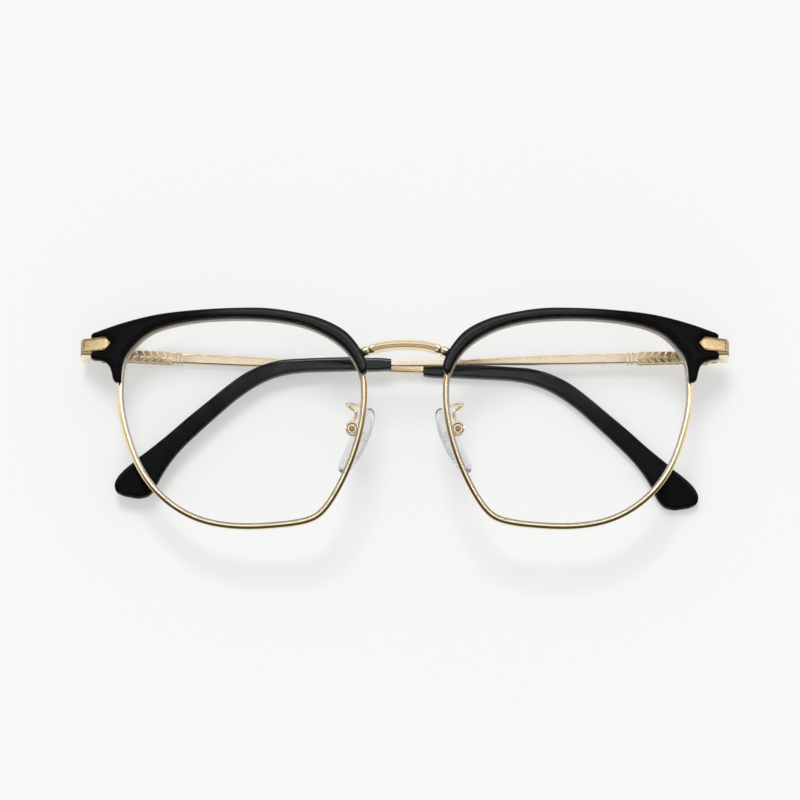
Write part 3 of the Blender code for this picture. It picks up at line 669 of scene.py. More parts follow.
class Nodes:
    """Adds nodes and links to a node tree."""

    def __init__(self, tree: bpy.types.NodeTree, prefix: str = "ShaderNode") -> None:
        """Keeps the tree that is built and the prefix of its node types."""
        self.tree, self.prefix = tree, prefix

    def node(self, kind: str, **settings: object) -> bpy.types.Node:
        """Adds a node and sets its properties.

        Args:
            kind: Its type, without the prefix.
            **settings: Its properties.

        Returns:
            The node.
        """
        made = self.tree.nodes.new(self.prefix + kind)
        for key, value in settings.items():
            setattr(made, key, value)
        return made

    def feed(self, socket: Socket, value: object) -> None:
        """Links a socket or a node's first output into a socket, or sets its value.

        Args:
            socket: The input socket.
            value: A socket, a node or a plain value.
        """
        if isinstance(value, bpy.types.Node):
            value = value.outputs[0]
        if isinstance(value, Socket):
            self.tree.links.new(value, socket)
        else:
            socket.default_value = value

    def put(self, node: bpy.types.Node, **values: object) -> bpy.types.Node:
        """Feeds a node's inputs by name, with an underscore for each space.

        Args:
            node: The node.
            **values: What each input gets.

        Returns:
            The node.
        """
        for key, value in values.items():
            self.feed(node.inputs[key.replace("_", " ")], value)
        return node

    def row(self, node: bpy.types.Node, *values: object) -> Socket:
        """Feeds a node's inputs in order and gives its first output.

        Args:
            node: The node.
            *values: What its inputs get.

        Returns:
            Its first output.
        """
        for socket, value in zip(node.inputs, values):
            self.feed(socket, value)
        return node.outputs[0]

    def math(self, operation: str, *values: object) -> Socket:
        """Result of a calculation on values or sockets."""
        return self.row(self.node("Math", operation=operation), *values)

    def times(self, first: object, second: object) -> Socket:
        """Product of two values or sockets."""
        return self.math("MULTIPLY", first, second)

    def scale(self, vector: object, by: Sequence[float]) -> Socket:
        """A vector multiplied part by part."""
        return self.row(self.node("VectorMath", operation="MULTIPLY"), vector, by)

    def grow(self, vector: object, by: object) -> Socket:
        """A vector multiplied by one value.

        Args:
            vector: The vector.
            by: The value.

        Returns:
            The longer or shorter vector.
        """
        made = self.node("VectorMath", operation="SCALE")
        self.feed(made.inputs[0], vector)
        return self.put(made, Scale=by).outputs[0]

    def parts(self, vector: object) -> Sequence[Socket]:
        """The three parts of a vector.

        Args:
            vector: The vector.

        Returns:
            Its x, y and z.
        """
        made = self.node("SeparateXYZ")
        self.feed(made.inputs[0], vector)
        return made.outputs

    def span(self, value: object, low: float, high: float, a: float, b: float) -> Socket:
        """A value mapped smoothly from one span to another."""
        return self.row(self.node("MapRange", interpolation_type="SMOOTHSTEP"), value, low, high, a, b)

    def mix(self, share: object, first: object, second: object) -> Socket:
        """A colour between two others.

        Args:
            share: Share of the second colour.
            first: The first colour.
            second: The second colour.

        Returns:
            The mixed colour.
        """
        made = self.node("Mix", data_type="RGBA")
        for index, value in ((0, share), (6, first), (7, second)):
            self.feed(made.inputs[index], value)
        return made.outputs[2]

    def noise(self, vector: object, scale: float, detail: float = 2.0) -> Socket:
        """Smooth noise over a vector."""
        made = self.put(self.node("TexNoise"), Vector=vector, Scale=scale, Detail=detail)
        return made.outputs["Fac"]

    def attribute(self, name: str) -> Socket:
        """A value that the mesh carries."""
        return self.node("Attribute", attribute_name=name).outputs["Fac"]

    def blend(self, share: object, first: Socket, second: Socket) -> None:
        """Mixes two shaders into the material's surface."""
        both = self.row(self.node("MixShader"), share, first, second)
        self.feed(self.tree.nodes["Material Output"].inputs["Surface"], both)

    def group(self, tree: bpy.types.NodeTree, **values: object) -> Sequence[Socket]:
        """Outputs of a shared effect, given its inputs by name."""
        return self.put(self.node("Group", node_tree=tree), **values).outputs

    def bump(self, height: object, strength: float, depth: float) -> Socket:
        """Normal of a relief of a height, at a strength and a depth in millimetres."""
        made = self.put(self.node("Bump"), Strength=strength, Distance=depth * MM, Height=height)
        return made.outputs["Normal"]

    def seen_rays(self) -> Socket:
        """One for rays by which the camera sees a surface, direct or in metal and glass.

        Returns:
            The value of one or zero.
        """
        rays = self.node("LightPath").outputs
        seen = self.math("MAXIMUM", rays["Is Camera Ray"], rays["Is Glossy Ray"])
        return self.math("MAXIMUM", seen, rays["Is Transmission Ray"])


def rgba(colour: Iterable[float]) -> tuple[float, ...]:
    """A colour with full alpha."""
    return (*colour, 1.0)


class Effects:
    """Shader node groups that several finishes share, each built once."""

    fine_scale: float = 2.7
    coarse_share: float = 0.6
    fine_share: float = 0.4
    line_span: Flat = (0.38, 0.62)
    smudge_span: Flat = (0.42, 0.68)
    bend_scale: float = 0.35
    bend_share: float = 0.25
    hair_stretch: Colour = (0.25, 5.0, 5.0)
    hair_scale: float = 1.3
    hair_level: float = 0.37
    hair_width: float = 0.006
    speck_scale: float = 0.55
    speck_span: Flat = (0.03, 0.06)
    mottle_span: Flat = (0.3, 0.7)
    pore_scale: float = 14.0

    def __init__(self) -> None:
        """Builds the groups."""
        self.grain = self._grain()
        self.handling = self._handling()
        self.cast = self._cast()

    def _group(
        self, name: str, outputs: Sequence[str], **values: float
    ) -> tuple[Nodes, bpy.types.Node, bpy.types.Node]:
        """An empty group that takes a vector and named values.

        Args:
            name: Name of the group.
            outputs: Names of its outputs.
            **values: Default of each value input, with an underscore for each space.

        Returns:
            Its tree, its input node and its output node.
        """
        tree = bpy.data.node_groups.new(name, "ShaderNodeTree")
        face = tree.interface
        face.new_socket(name="Vector", in_out="INPUT", socket_type="NodeSocketVector")
        for key, value in values.items():
            label = key.replace("_", " ")
            socket = face.new_socket(name=label, in_out="INPUT", socket_type="NodeSocketFloat")
            socket.default_value = value
        for key in outputs:
            face.new_socket(name=key, in_out="OUTPUT", socket_type="NodeSocketFloat")
        return Nodes(tree), tree.nodes.new("NodeGroupInput"), tree.nodes.new("NodeGroupOutput")

    def _grain(self) -> bpy.types.NodeTree:
        """Fine brushed lines that run along a vector's first part.

        Returns:
            The group.
        """
        made, start, end = self._group("Brushed grain", ["Line", "Height"], Lines=9.0, Stretch=0.05)
        x, y, z = made.parts(start.outputs["Vector"])
        slow = made.times(x, start.outputs["Stretch"])
        joined = made.row(made.node("CombineXYZ"), slow, y, z)
        lines = made.grow(joined, start.outputs["Lines"])
        coarse, fine = made.noise(lines, 1.0, 3.0), made.noise(lines, self.fine_scale, 2.0)
        coarse, fine = made.times(coarse, self.coarse_share), made.times(fine, self.fine_share)
        both = made.math("ADD", coarse, fine)
        made.put(end, Line=made.span(both, *self.line_span, 0.0, 1.0), Height=both)
        return made.tree

    def _handling(self) -> bpy.types.NodeTree:
        """Faint smudges, hair scratches and dust specks of handling.

        Returns:
            The group.
        """
        made, start, end = self._group("Handling", ["Smudge", "Scratch", "Speck"], Smudge_Size=0.22)
        vector = start.outputs["Vector"]
        cloud = made.noise(made.grow(vector, start.outputs["Smudge Size"]), 1.0, 4.0)
        bent = made.noise(vector, self.bend_scale, 1.0)
        hair = made.noise(made.scale(vector, self.hair_stretch), self.hair_scale, 1.0)
        line = made.math("SUBTRACT", hair, made.times(bent, self.bend_share))
        thin = made.math("ABSOLUTE", made.math("SUBTRACT", line, self.hair_level))
        cells = made.node("TexVoronoi", feature="F1")
        made.put(cells, Vector=vector, Scale=self.speck_scale)
        made.put(
            end, Smudge=made.span(cloud, *self.smudge_span, 0.0, 1.0),
            Scratch=made.span(thin, 0.0, self.hair_width, 1.0, 0.0),
            Speck=made.span(cells.outputs["Distance"], *self.speck_span, 1.0, 0.0),
        )
        return made.tree

    def _cast(self) -> bpy.types.NodeTree:
        """Soft mottling of a moulded or plated surface.

        Returns:
            The group.
        """
        made, start, end = self._group("Surface cast", ["Mottle", "Height"], Size=1.0)
        sized = made.grow(start.outputs["Vector"], start.outputs["Size"])
        mottle = made.span(made.noise(sized, 1.0, 3.0), *self.mottle_span, 0.0, 1.0)
        made.put(end, Mottle=mottle, Height=made.noise(sized, self.pore_scale, 2.0))
        return made.tree


EFFECTS = Effects()


@dataclass(frozen=True)
class Finish:
    """What every finish has: its name and what its pattern is measured on."""

    name: str
    coordinate: Coordinate = Coordinate.PLACE

    def start(self) -> tuple[bpy.types.Material, Nodes, bpy.types.Node, Socket]:
        """A new material, its tree, its surface shader and its pattern's vector in millimetres.

        Returns:
            The material, its tree, its surface shader and the vector.
        """
        material = bpy.data.materials.new(self.name)
        material.use_nodes = True
        made = Nodes(material.node_tree)
        if self.coordinate is Coordinate.TRACK:
            keys = made.attribute("along"), made.attribute("around")
            vector = made.row(made.node("CombineXYZ"), *keys)
        else:
            vector = made.scale(made.node("TexCoord").outputs["Object"], (1.0 / MM,) * 3)
        return material, made, material.node_tree.nodes["Principled BSDF"], vector


@dataclass(frozen=True)
class PlatedMetal(Finish):
    """Plated metal, satin, brushed or polished."""

    base: Colour = (0.8, 0.62, 0.36)
    shade: Colour = (0.6, 0.42, 0.2)
    roughness: float = 0.26
    spread: float = 0.08
    grain: float = 0.5
    lines: float = 9.0
    relief: float = 0.004
    relief_share: float = 0.6
    cast_size: float = 0.5
    line_tone: float = 0.55
    mottle_tone: float = 0.25
    smudge_dulling: float = 0.05
    scratch_dulling: float = 0.1

    def make(self) -> bpy.types.Material:
        """Builds the material.

        Returns:
            The material.
        """
        material, made, shader, vector = self.start()
        grain = made.group(EFFECTS.grain, Vector=vector, Lines=self.lines)
        wear = made.group(EFFECTS.handling, Vector=vector)
        cast = made.group(EFFECTS.cast, Vector=vector, Size=self.cast_size)
        dull = made.times(grain["Line"], self.grain)
        mottle = made.times(cast["Mottle"], self.mottle_tone)
        share = made.math("ADD", made.times(dull, self.line_tone), mottle)
        rough = made.math("MULTIPLY_ADD", grain["Line"], self.spread, self.roughness)
        rough = made.math("MULTIPLY_ADD", wear["Smudge"], self.smudge_dulling, rough)
        rough = made.math("MULTIPLY_ADD", wear["Scratch"], self.scratch_dulling, rough)
        tall = made.times(grain["Height"], self.grain)
        made.put(
            shader, Base_Color=made.mix(share, rgba(self.base), rgba(self.shade)), Metallic=1.0,
            Roughness=rough, Normal=made.bump(tall, self.relief_share, self.relief),
        )
        return material


@dataclass(frozen=True)
class MattePlastic(Finish):
    """Matt black moulded plastic with a very fine grain and a soft sheen along its crown."""

    base: Colour = (0.0022, 0.0022, 0.0024)
    worn: Colour = (0.005, 0.005, 0.0052)
    roughness: float = 0.34
    band: float = 0.6
    band_to: float = 36.0
    band_fade: float = 14.0
    relief: float = 0.004
    relief_share: float = 0.35
    cast_size: float = 0.35
    smudge_size: float = 0.12
    worn_edge: Flat = (0.05, 0.5)
    worn_tone: float = 0.5
    mottle_tone: float = 0.35
    mottle_dulling: float = 0.05
    smudge_shine: float = -0.04
    crown_start: Flat = (0.15, 0.6)
    crown_end: Flat = (1.1, 1.9)
    specular: float = 0.04
    coat_roughness: float = 0.3

    def make(self) -> bpy.types.Material:
        """Builds the material.

        Returns:
            The material.
        """
        material, made, shader, vector = self.start()
        cast = made.group(EFFECTS.cast, Vector=vector, Size=self.cast_size)
        wear = made.group(EFFECTS.handling, Vector=vector, Smudge_Size=self.smudge_size)
        rim = made.attribute("edge")
        near = made.span(rim, *self.worn_edge, self.worn_tone, 0.0)
        share = made.math("ADD", near, made.times(cast["Mottle"], self.mottle_tone))
        rough = made.math("MULTIPLY_ADD", cast["Mottle"], self.mottle_dulling, self.roughness)
        rough = made.math("MULTIPLY_ADD", wear["Smudge"], self.smudge_shine, rough)
        crown = made.times(
            made.span(rim, *self.crown_start, 0.0, self.band),
            made.span(rim, *self.crown_end, 1.0, 0.0),
        )
        aside = made.math("ABSOLUTE", made.parts(vector)[0])
        inner = made.span(aside, self.band_to, self.band_to + self.band_fade, 1.0, 0.0)
        made.put(
            shader, Base_Color=made.mix(share, rgba(self.base), rgba(self.worn)), Roughness=rough,
            Specular_IOR_Level=self.specular, Coat_Weight=made.times(crown, inner),
            Coat_Roughness=self.coat_roughness,
            Normal=made.bump(cast["Height"], self.relief_share, self.relief),
        )
        return material


@dataclass(frozen=True)
class SleevePlastic(Finish):
    """Dark glossy plastic, a translucent slate at its start and near black at its end, with painted
    shade that darkens its colour towards its outline.
    """

    slate: Colour = (0.0035, 0.0075, 0.0082)
    deep: Colour = (0.0015, 0.0015, 0.0014)
    fade_from: float = 12.0
    fade_to: float = 58.0
    start_gloss: float = 0.85
    end_gloss: float = 0.05
    roughness: float = 0.22
    relief: float = 0.002
    relief_share: float = 0.2
    cast_size: float = 0.3
    smudge_size: float = 0.1
    cloud: float = 9.0
    # Painted shade towards the outline: blend and share of the darkening by the facing mask
    facing_blend: float = 0.35
    facing_tone: float = 0.5
    smudge_dulling: float = 0.06
    scratch_dulling: float = 0.02
    specular: float = 0.04
    coat_roughness: float = 0.07

    def make(self) -> bpy.types.Material:
        """Builds the material.

        Returns:
            The material.
        """
        material, made, shader, vector = self.start()
        cast = made.group(EFFECTS.cast, Vector=vector, Size=self.cast_size)
        wear = made.group(EFFECTS.handling, Vector=vector, Smudge_Size=self.smudge_size)
        cloud = made.math("MULTIPLY_ADD", cast["Mottle"], self.cloud, made.attribute("along"))
        fade = made.span(cloud, self.fade_from, self.fade_to, 0.0, 1.0)
        colour = made.mix(fade, rgba(self.slate), rgba(self.deep))
        # Painted shade: the colour goes towards the deep tone where the surface turns away from the
        # view
        painted_edge_shade_mask = made.put(made.node("LayerWeight"), Blend=self.facing_blend).outputs["Facing"]
        rough = made.math("MULTIPLY_ADD", wear["Smudge"], self.smudge_dulling, self.roughness)
        rough = made.math("MULTIPLY_ADD", wear["Scratch"], self.scratch_dulling, rough)
        gloss = made.math("MULTIPLY_ADD", fade, self.end_gloss - self.start_gloss, self.start_gloss)
        turned = made.times(painted_edge_shade_mask, self.facing_tone)
        made.put(
            shader, Base_Color=made.mix(turned, colour, rgba(self.deep)), Roughness=rough,
            Specular_IOR_Level=self.specular, Coat_Weight=gloss,
            Coat_Roughness=self.coat_roughness,
            Normal=made.bump(cast["Height"], self.relief_share, self.relief),
        )
        return material


@dataclass(frozen=True)
class ClearMaterial(Finish):
    """Clear lens plastic or clear soft silicone."""

    tint: Colour = (0.994, 0.997, 0.996)
    index: float = 1.5
    roughness: float = 0.0
    cloud: float = 0.0
    shadow: float = 1.0
    coating: Colour = (0.05, 0.06, 0.056)
    relief: float = 0.001
    relief_share: float = 0.05
    cast_size: float = 0.6
    smudge_size: float = 0.09
    dimming: float = 0.985
    mottle_tone: float = 0.5
    smudge_dulling: float = 0.012
    speck_dulling: float = 0.05

    def make(self) -> bpy.types.Material:
        """Builds the material.

        Returns:
            The material.
        """
        material, made, shader, vector = self.start()
        wear = made.group(EFFECTS.handling, Vector=vector, Smudge_Size=self.smudge_size)
        cast = made.group(EFFECTS.cast, Vector=vector, Size=self.cast_size)
        dim = rgba(c * self.dimming for c in self.tint)
        dulling = self.smudge_dulling + self.cloud
        rough = made.math("MULTIPLY_ADD", wear["Smudge"], dulling, self.roughness)
        rough = made.math("MULTIPLY_ADD", wear["Speck"], self.speck_dulling, rough)
        mottle = made.times(cast["Mottle"], self.mottle_tone)
        made.put(
            shader, Base_Color=made.mix(mottle, rgba(self.tint), dim), Roughness=rough,
            IOR=self.index, Specular_Tint=rgba(self.coating), Transmission_Weight=1.0,
            Normal=made.bump(cast["Height"], self.relief_share, self.relief),
        )
        clear = made.put(made.node("BsdfTransparent"), Color=rgba((self.shadow,) * 3))
        rays = made.node("LightPath").outputs
        straight = made.math("MAXIMUM", rays["Is Shadow Ray"], rays["Is Diffuse Ray"])
        made.blend(straight, shader.outputs[0], clear.outputs[0])
        return material


@dataclass(frozen=True)
class GroundEdge(Finish):
    """Ground edge of a lens."""

    base: Colour = (0.62, 0.55, 0.49)
    roughness: float = 0.6
    relief: float = 0.004
    relief_share: float = 0.4
    cast_size: float = 2.0
    dimming: float = 0.8

    def make(self) -> bpy.types.Material:
        """Builds the material.

        Returns:
            The material.
        """
        material, made, shader, vector = self.start()
        cast = made.group(EFFECTS.cast, Vector=vector, Size=self.cast_size)
        dark = rgba(c * self.dimming for c in self.base)
        made.put(
            shader, Base_Color=made.mix(cast["Mottle"], rgba(self.base), dark),
            Roughness=self.roughness,
            Normal=made.bump(cast["Height"], self.relief_share, self.relief),
        )
        return material


# The finishes of the whole object, by what they cover
FINISHES: dict[str, Finish] = {
    "rim": PlatedMetal(
        "rim_polished_gold", Coordinate.TRACK, base=(0.92, 0.74, 0.45), shade=(0.82, 0.62, 0.35),
        roughness=0.1, spread=0.02, grain=0.1, lines=5.0, relief=0.0005,
    ),
    "groove": PlatedMetal(
        "groove_pale_metal", Coordinate.TRACK, base=(0.84, 0.75, 0.64), shade=(0.74, 0.64, 0.53),
        roughness=0.3, spread=0.05, grain=0.2, lines=6.0, relief=0.002,
    ),
    # Painted shade: the plate's brushed gold is a darkened copy of the end piece's metal, dulling the
    # overhead light its face catches
    "plate": PlatedMetal(
        "plate_brushed_gold", base=(0.47, 0.35, 0.195), shade=(0.4, 0.29, 0.15),
        roughness=0.26, spread=0.04, grain=0.6, lines=8.0, relief=0.0012,
    ),
    # Painted light: the elbow is a brightened copy of the same gold, lifting the faces under the plate
    # that reflect the shaded table
    "elbow": PlatedMetal(
        "elbow_pale_gold", base=(0.99, 0.93, 0.74), shade=(0.93, 0.83, 0.6),
        roughness=0.3, spread=0.04, grain=0.3, lines=8.0, relief=0.001,
    ),
    "bridge": PlatedMetal(
        "bridge_polished_gold", Coordinate.TRACK, base=(0.92, 0.80, 0.58), shade=(0.82, 0.67, 0.44),
        roughness=0.05, spread=0.015, grain=0.12, lines=6.0, relief=0.0004,
    ),
    "temple": PlatedMetal(
        "temple_champagne", Coordinate.TRACK, base=(0.93, 0.79, 0.60), shade=(0.84, 0.69, 0.49),
        roughness=0.2, spread=0.05, grain=0.25, lines=8.0, relief=0.0006,
    ),
    "chevron": PlatedMetal(
        "chevron_bright_gold", base=(0.99, 0.84, 0.58), shade=(0.9, 0.7, 0.42),
        roughness=0.3, spread=0.04, grain=0.2, lines=7.0, relief=0.001,
    ),
    "hinge": PlatedMetal(
        "hinge_satin_gold", base=(0.8, 0.64, 0.40), shade=(0.62, 0.45, 0.24),
        roughness=0.22, spread=0.08, grain=0.4, lines=7.0, relief=0.003,
    ),
    "screw": PlatedMetal(
        "screw_bronze", base=(0.42, 0.33, 0.22), shade=(0.3, 0.22, 0.13),
        roughness=0.18, spread=0.06, grain=0.4, lines=10.0, relief=0.002,
    ),
    "bar": MattePlastic("bar_matt_black"),
    "sleeve": SleevePlastic("sleeve_dark_slate", Coordinate.TRACK),
    "lens": ClearMaterial("lens_clear"),
    "edge": GroundEdge("lens_ground_edge"),
    "pad": ClearMaterial(
        "pad_clear_silicone", tint=(0.9, 0.91, 0.915), index=1.41, roughness=0.2, cloud=0.03,
        shadow=0.86, coating=(0.5, 0.5, 0.5),
    ),
}


class GeometryTree(Nodes):
    """A geometry node tree with named inputs, run on one mesh at a time."""

    def __init__(self, name: str, **inputs: str) -> None:
        """Makes a tree that takes a geometry, a finish and more named inputs of some kind.

        Args:
            name: Name of the tree.
            **inputs: Kind of each further input, by its name.
        """
        super().__init__(bpy.data.node_groups.new(name, "GeometryNodeTree"), "GeometryNode")
        face = self.tree.interface
        for way in ("INPUT", "OUTPUT"):
            face.new_socket(name="Geometry", in_out=way, socket_type="NodeSocketGeometry")
        self.ids: dict[str, str] = {}
        for key, kind in {"Finish": "Material", **inputs}.items():
            socket = face.new_socket(name=key, in_out="INPUT", socket_type="NodeSocket" + kind)
            self.ids[key] = socket.identifier
        self.start = self.tree.nodes.new("NodeGroupInput").outputs
        self.end = self.tree.nodes.new("NodeGroupOutput")

    def close(self, geometry: bpy.types.Node) -> None:
        """Realises the instances, sets the finish and ends the tree.

        Args:
            geometry: The node that gives the geometry.
        """
        real = self.put(self.node("RealizeInstances"), Geometry=geometry)
        cover = self.put(self.node("SetMaterial"), Geometry=real, Material=self.start["Finish"])
        self.put(self.end, Geometry=cover)

    def held(self, key: str) -> Socket:
        """Geometry of an object that comes in by name."""
        return self.put(self.node("ObjectInfo"), Object=self.start[key]).outputs["Geometry"]

    def run(self, mesh: Mesh, **values: object) -> Mesh:
        """Plain mesh that the tree makes of a mesh and its named inputs."""
        inputs = {self.ids[key]: value for key, value in values.items()}
        return modified(mesh, "NODES", node_group=self.tree, **inputs)


class SweepTree(GeometryTree):
    """Sweeps a profile along a path whose points say which way is outward."""

    def __init__(self) -> None:
        """Builds the tree."""
        super().__init__("Profile sweep", Profile="Object")
        line = self.put(self.node("MeshToCurve"), Mesh=self.start["Geometry"])
        way = self.put(
            self.node("InputNamedAttribute", data_type="FLOAT_VECTOR"), Name="outward"
        ).outputs["Attribute"]
        lean = self.put(self.node("SetCurveNormal", mode="FREE"), Curve=line, Normal=way)
        outline = self.put(self.node("MeshToCurve"), Mesh=self.held("Profile"))
        sweep = self.node("CurveToMesh")
        self.close(self.put(sweep, Curve=lean, Profile_Curve=outline, Fill_Caps=True))

    def sweep(
        self, path: Sequence[Vector], outward: Sequence[Vector], profile: Sequence[Flat],
        finish: bpy.types.Material,
    ) -> Mesh:
        """Sweeps a closed profile along an open path, all in metres.

        Args:
            path: Points of the path.
            outward: Direction of the profile's first axis at each point.
            profile: The profile, drawn counter-clockwise.
            finish: The finish of the result.

        Returns:
            The swept mesh, marked with the distance along and around it.
        """
        def marked(points: Sequence, edges: Sequence[tuple[int, int]], key: str) -> Mesh:
            """A line whose points carry their distance from its start.

            Args:
                points: Points of the line.
                edges: Pairs of points that it joins.
                key: Name of the value.

            Returns:
                The mesh of the line.
            """
            made = bpy.data.meshes.new("line")
            made.from_pydata(points, edges, [])
            steps = [0.0] + [math.dist(p, q) / MM for p, q in zip(points, points[1:])]
            walked = made.attributes.new(key, "FLOAT", "POINT")
            walked.data.foreach_set("value", list(np.cumsum(steps)))
            return made

        line = marked(path, [(i, i + 1) for i in range(len(path) - 1)], "along")
        ways = line.attributes.new("outward", "FLOAT_VECTOR", "POINT")
        ways.data.foreach_set("vector", [c for v in outward for c in v])
        size = len(profile)
        edges = [(i, (i + 1) % size) for i in range(size)]
        with placed(marked([(u, v, 0.0) for u, v in profile], edges, "around")) as ring:
            made = self.run(line, Profile=ring, Finish=finish)
        face_outwards(made)
        return made


class RibTree(GeometryTree):
    """Sets one rib again and again along a straight line."""

    def __init__(self) -> None:
        """Builds the tree."""
        super().__init__("Rib run", Rib="Object", Count="Int", Step="Vector", First="Vector")
        row = self.put(
            self.node("MeshLine", mode="OFFSET"), Count=self.start["Count"],
            Start_Location=self.start["First"], Offset=self.start["Step"],
        )
        self.close(self.put(self.node("InstanceOnPoints"), Points=row, Instance=self.held("Rib")))


class ScrewTree(GeometryTree):
    """Cuts the driver slot into the head of a turned screw that stands along Z."""

    def __init__(self) -> None:
        """Builds the tree."""
        super().__init__("Screw slot", Top="Vector", Slot="Vector", Turn="Vector")
        block = self.put(self.node("MeshCube"), Size=self.start["Slot"])
        move = self.put(
            self.node("Transform"), Geometry=block, Translation=self.start["Top"],
            Rotation=self.start["Turn"],
        )
        cut = self.node("MeshBoolean", operation="DIFFERENCE", solver="EXACT")
        self.close(self.put(cut, Mesh_1=self.start["Geometry"], Mesh_2=move))


class Bench:
    """Holds the finishes and the geometry trees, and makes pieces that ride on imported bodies."""

    def __init__(self) -> None:
        """Makes the finishes and the geometry trees."""
        self.finishes = {key: finish.make() for key, finish in FINISHES.items()}
        self.sweeps = SweepTree()
        self.ribs = RibTree()
        self.screws = ScrewTree()

    def finish(
        self, name: str, mesh: Mesh, finishes: Sequence[str], body: str, node: str, sharp: float
    ) -> None:
        """Makes the finished piece of a mesh.

        Args:
            name: Name of the piece.
            mesh: Its mesh, in the shared frame.
            finishes: Its finishes, in slot order.
            body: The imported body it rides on.
            node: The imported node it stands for.
            sharp: Angle in degrees over which an edge stays sharp.
        """
        slots = np.zeros(len(mesh.polygons), np.int32)
        mesh.polygons.foreach_get("material_index", slots)
        mesh.materials.clear()
        for key in finishes:
            mesh.materials.append(self.finishes[key])
        mesh.polygons.foreach_set("material_index", np.minimum(slots, len(finishes) - 1))
        mesh.shade_smooth()
        mesh.set_sharp_from_angle(angle=math.radians(sharp))
        mesh.name = name
        piece = bpy.data.objects.new(name, mesh)
        bpy.context.scene.collection.objects.link(piece)
        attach(piece, body)
        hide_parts(node)
        LOG.info("%s: %d faces, rides on %s", name, len(mesh.polygons), body)


@dataclass
class Piece:
    """What every sub-assembly has: the bench it is made on and its side."""

    bench: Bench
    side: Side = Side.LEFT

    def make(self, shape: Shape) -> Mesh:
        """Mesh of a shape drawn in the frame of the front."""
        return shape.mesh(STANCE.front(), self.side)

    def cut(self, mesh: Mesh, tool: Shape) -> Mesh:
        """Mesh with a shape taken out of it."""
        return carve(mesh, self.make(tool))

    def add(self, mesh: Mesh, part: Shape, rounding: float = 0.0) -> Mesh:
        """Mesh with a shape joined to it, its edges rounded first."""
        other = self.make(part)
        return carve(mesh, bevel(other, rounding) if rounding else other, "UNION")

    def dress(
        self, name: str, node: str, mesh: Mesh, finishes: Sequence[str], sharp: float,
        body: str = "front",
    ) -> None:
        """Finishes a mesh as this side's piece.

        Args:
            name: Name of the piece, without its side.
            node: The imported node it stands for, without its side.
            mesh: Its mesh.
            finishes: Its finishes, in slot order.
            sharp: Angle in degrees over which an edge stays sharp.
            body: The body it rides on, with its side where it has one.
        """
        word = "_" + self.side.word
        self.bench.finish(name + word, mesh, finishes, body, node + word, sharp)

    def screw(
        self, name: str, node: str, steps: list[Flat], change: Callable[[Vector], Vector],
        slot: float, turn: float,
    ) -> None:
        """Makes one slotted screw.

        Args:
            name: Name of the piece, without its side.
            node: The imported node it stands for, without its side.
            steps: (radius, height) steps, with the head at the top end.
            change: Moves a point of the drawing to the front's frame.
            slot: Depth of the driver slot.
            turn: Turn of the slot in degrees.
        """
        width = max(r for r, _ in steps)
        mesh = self.bench.screws.run(
            lathe(steps).mesh(Matrix.Identity(4)), Finish=self.bench.finishes["screw"],
            Top=Vector((0.0, 0.0, steps[-1][1] * MM)),
            Slot=Vector((width * 3.0, 0.26, slot * 2.0)) * MM,
            Turn=Vector((0.0, 0.0, math.radians(turn))),
        )
        place = STANCE.front()
        for vertex in mesh.vertices:
            vertex.co = place @ (self.side.mirror(change(vertex.co / MM)) * MM)
        face_outwards(mesh)
        self.dress(name, node, mesh, ["screw"], 30.0)

    def brow_screw_hole(self) -> Shape:
        """Hole of the screw that holds the brow bar.

        Returns:
            The hole, as a solid.
        """
        top = dome(BROW_SCREW_A, BROW_SCREW_Y)
        spot = Vector((LENS_CENTRE_X + BROW_SCREW_A, BROW_SCREW_Y, 0.0))
        return rod(BROW_SCREW_BORE, top - 3.5, top + 1.6).moved(lambda p: p + spot)


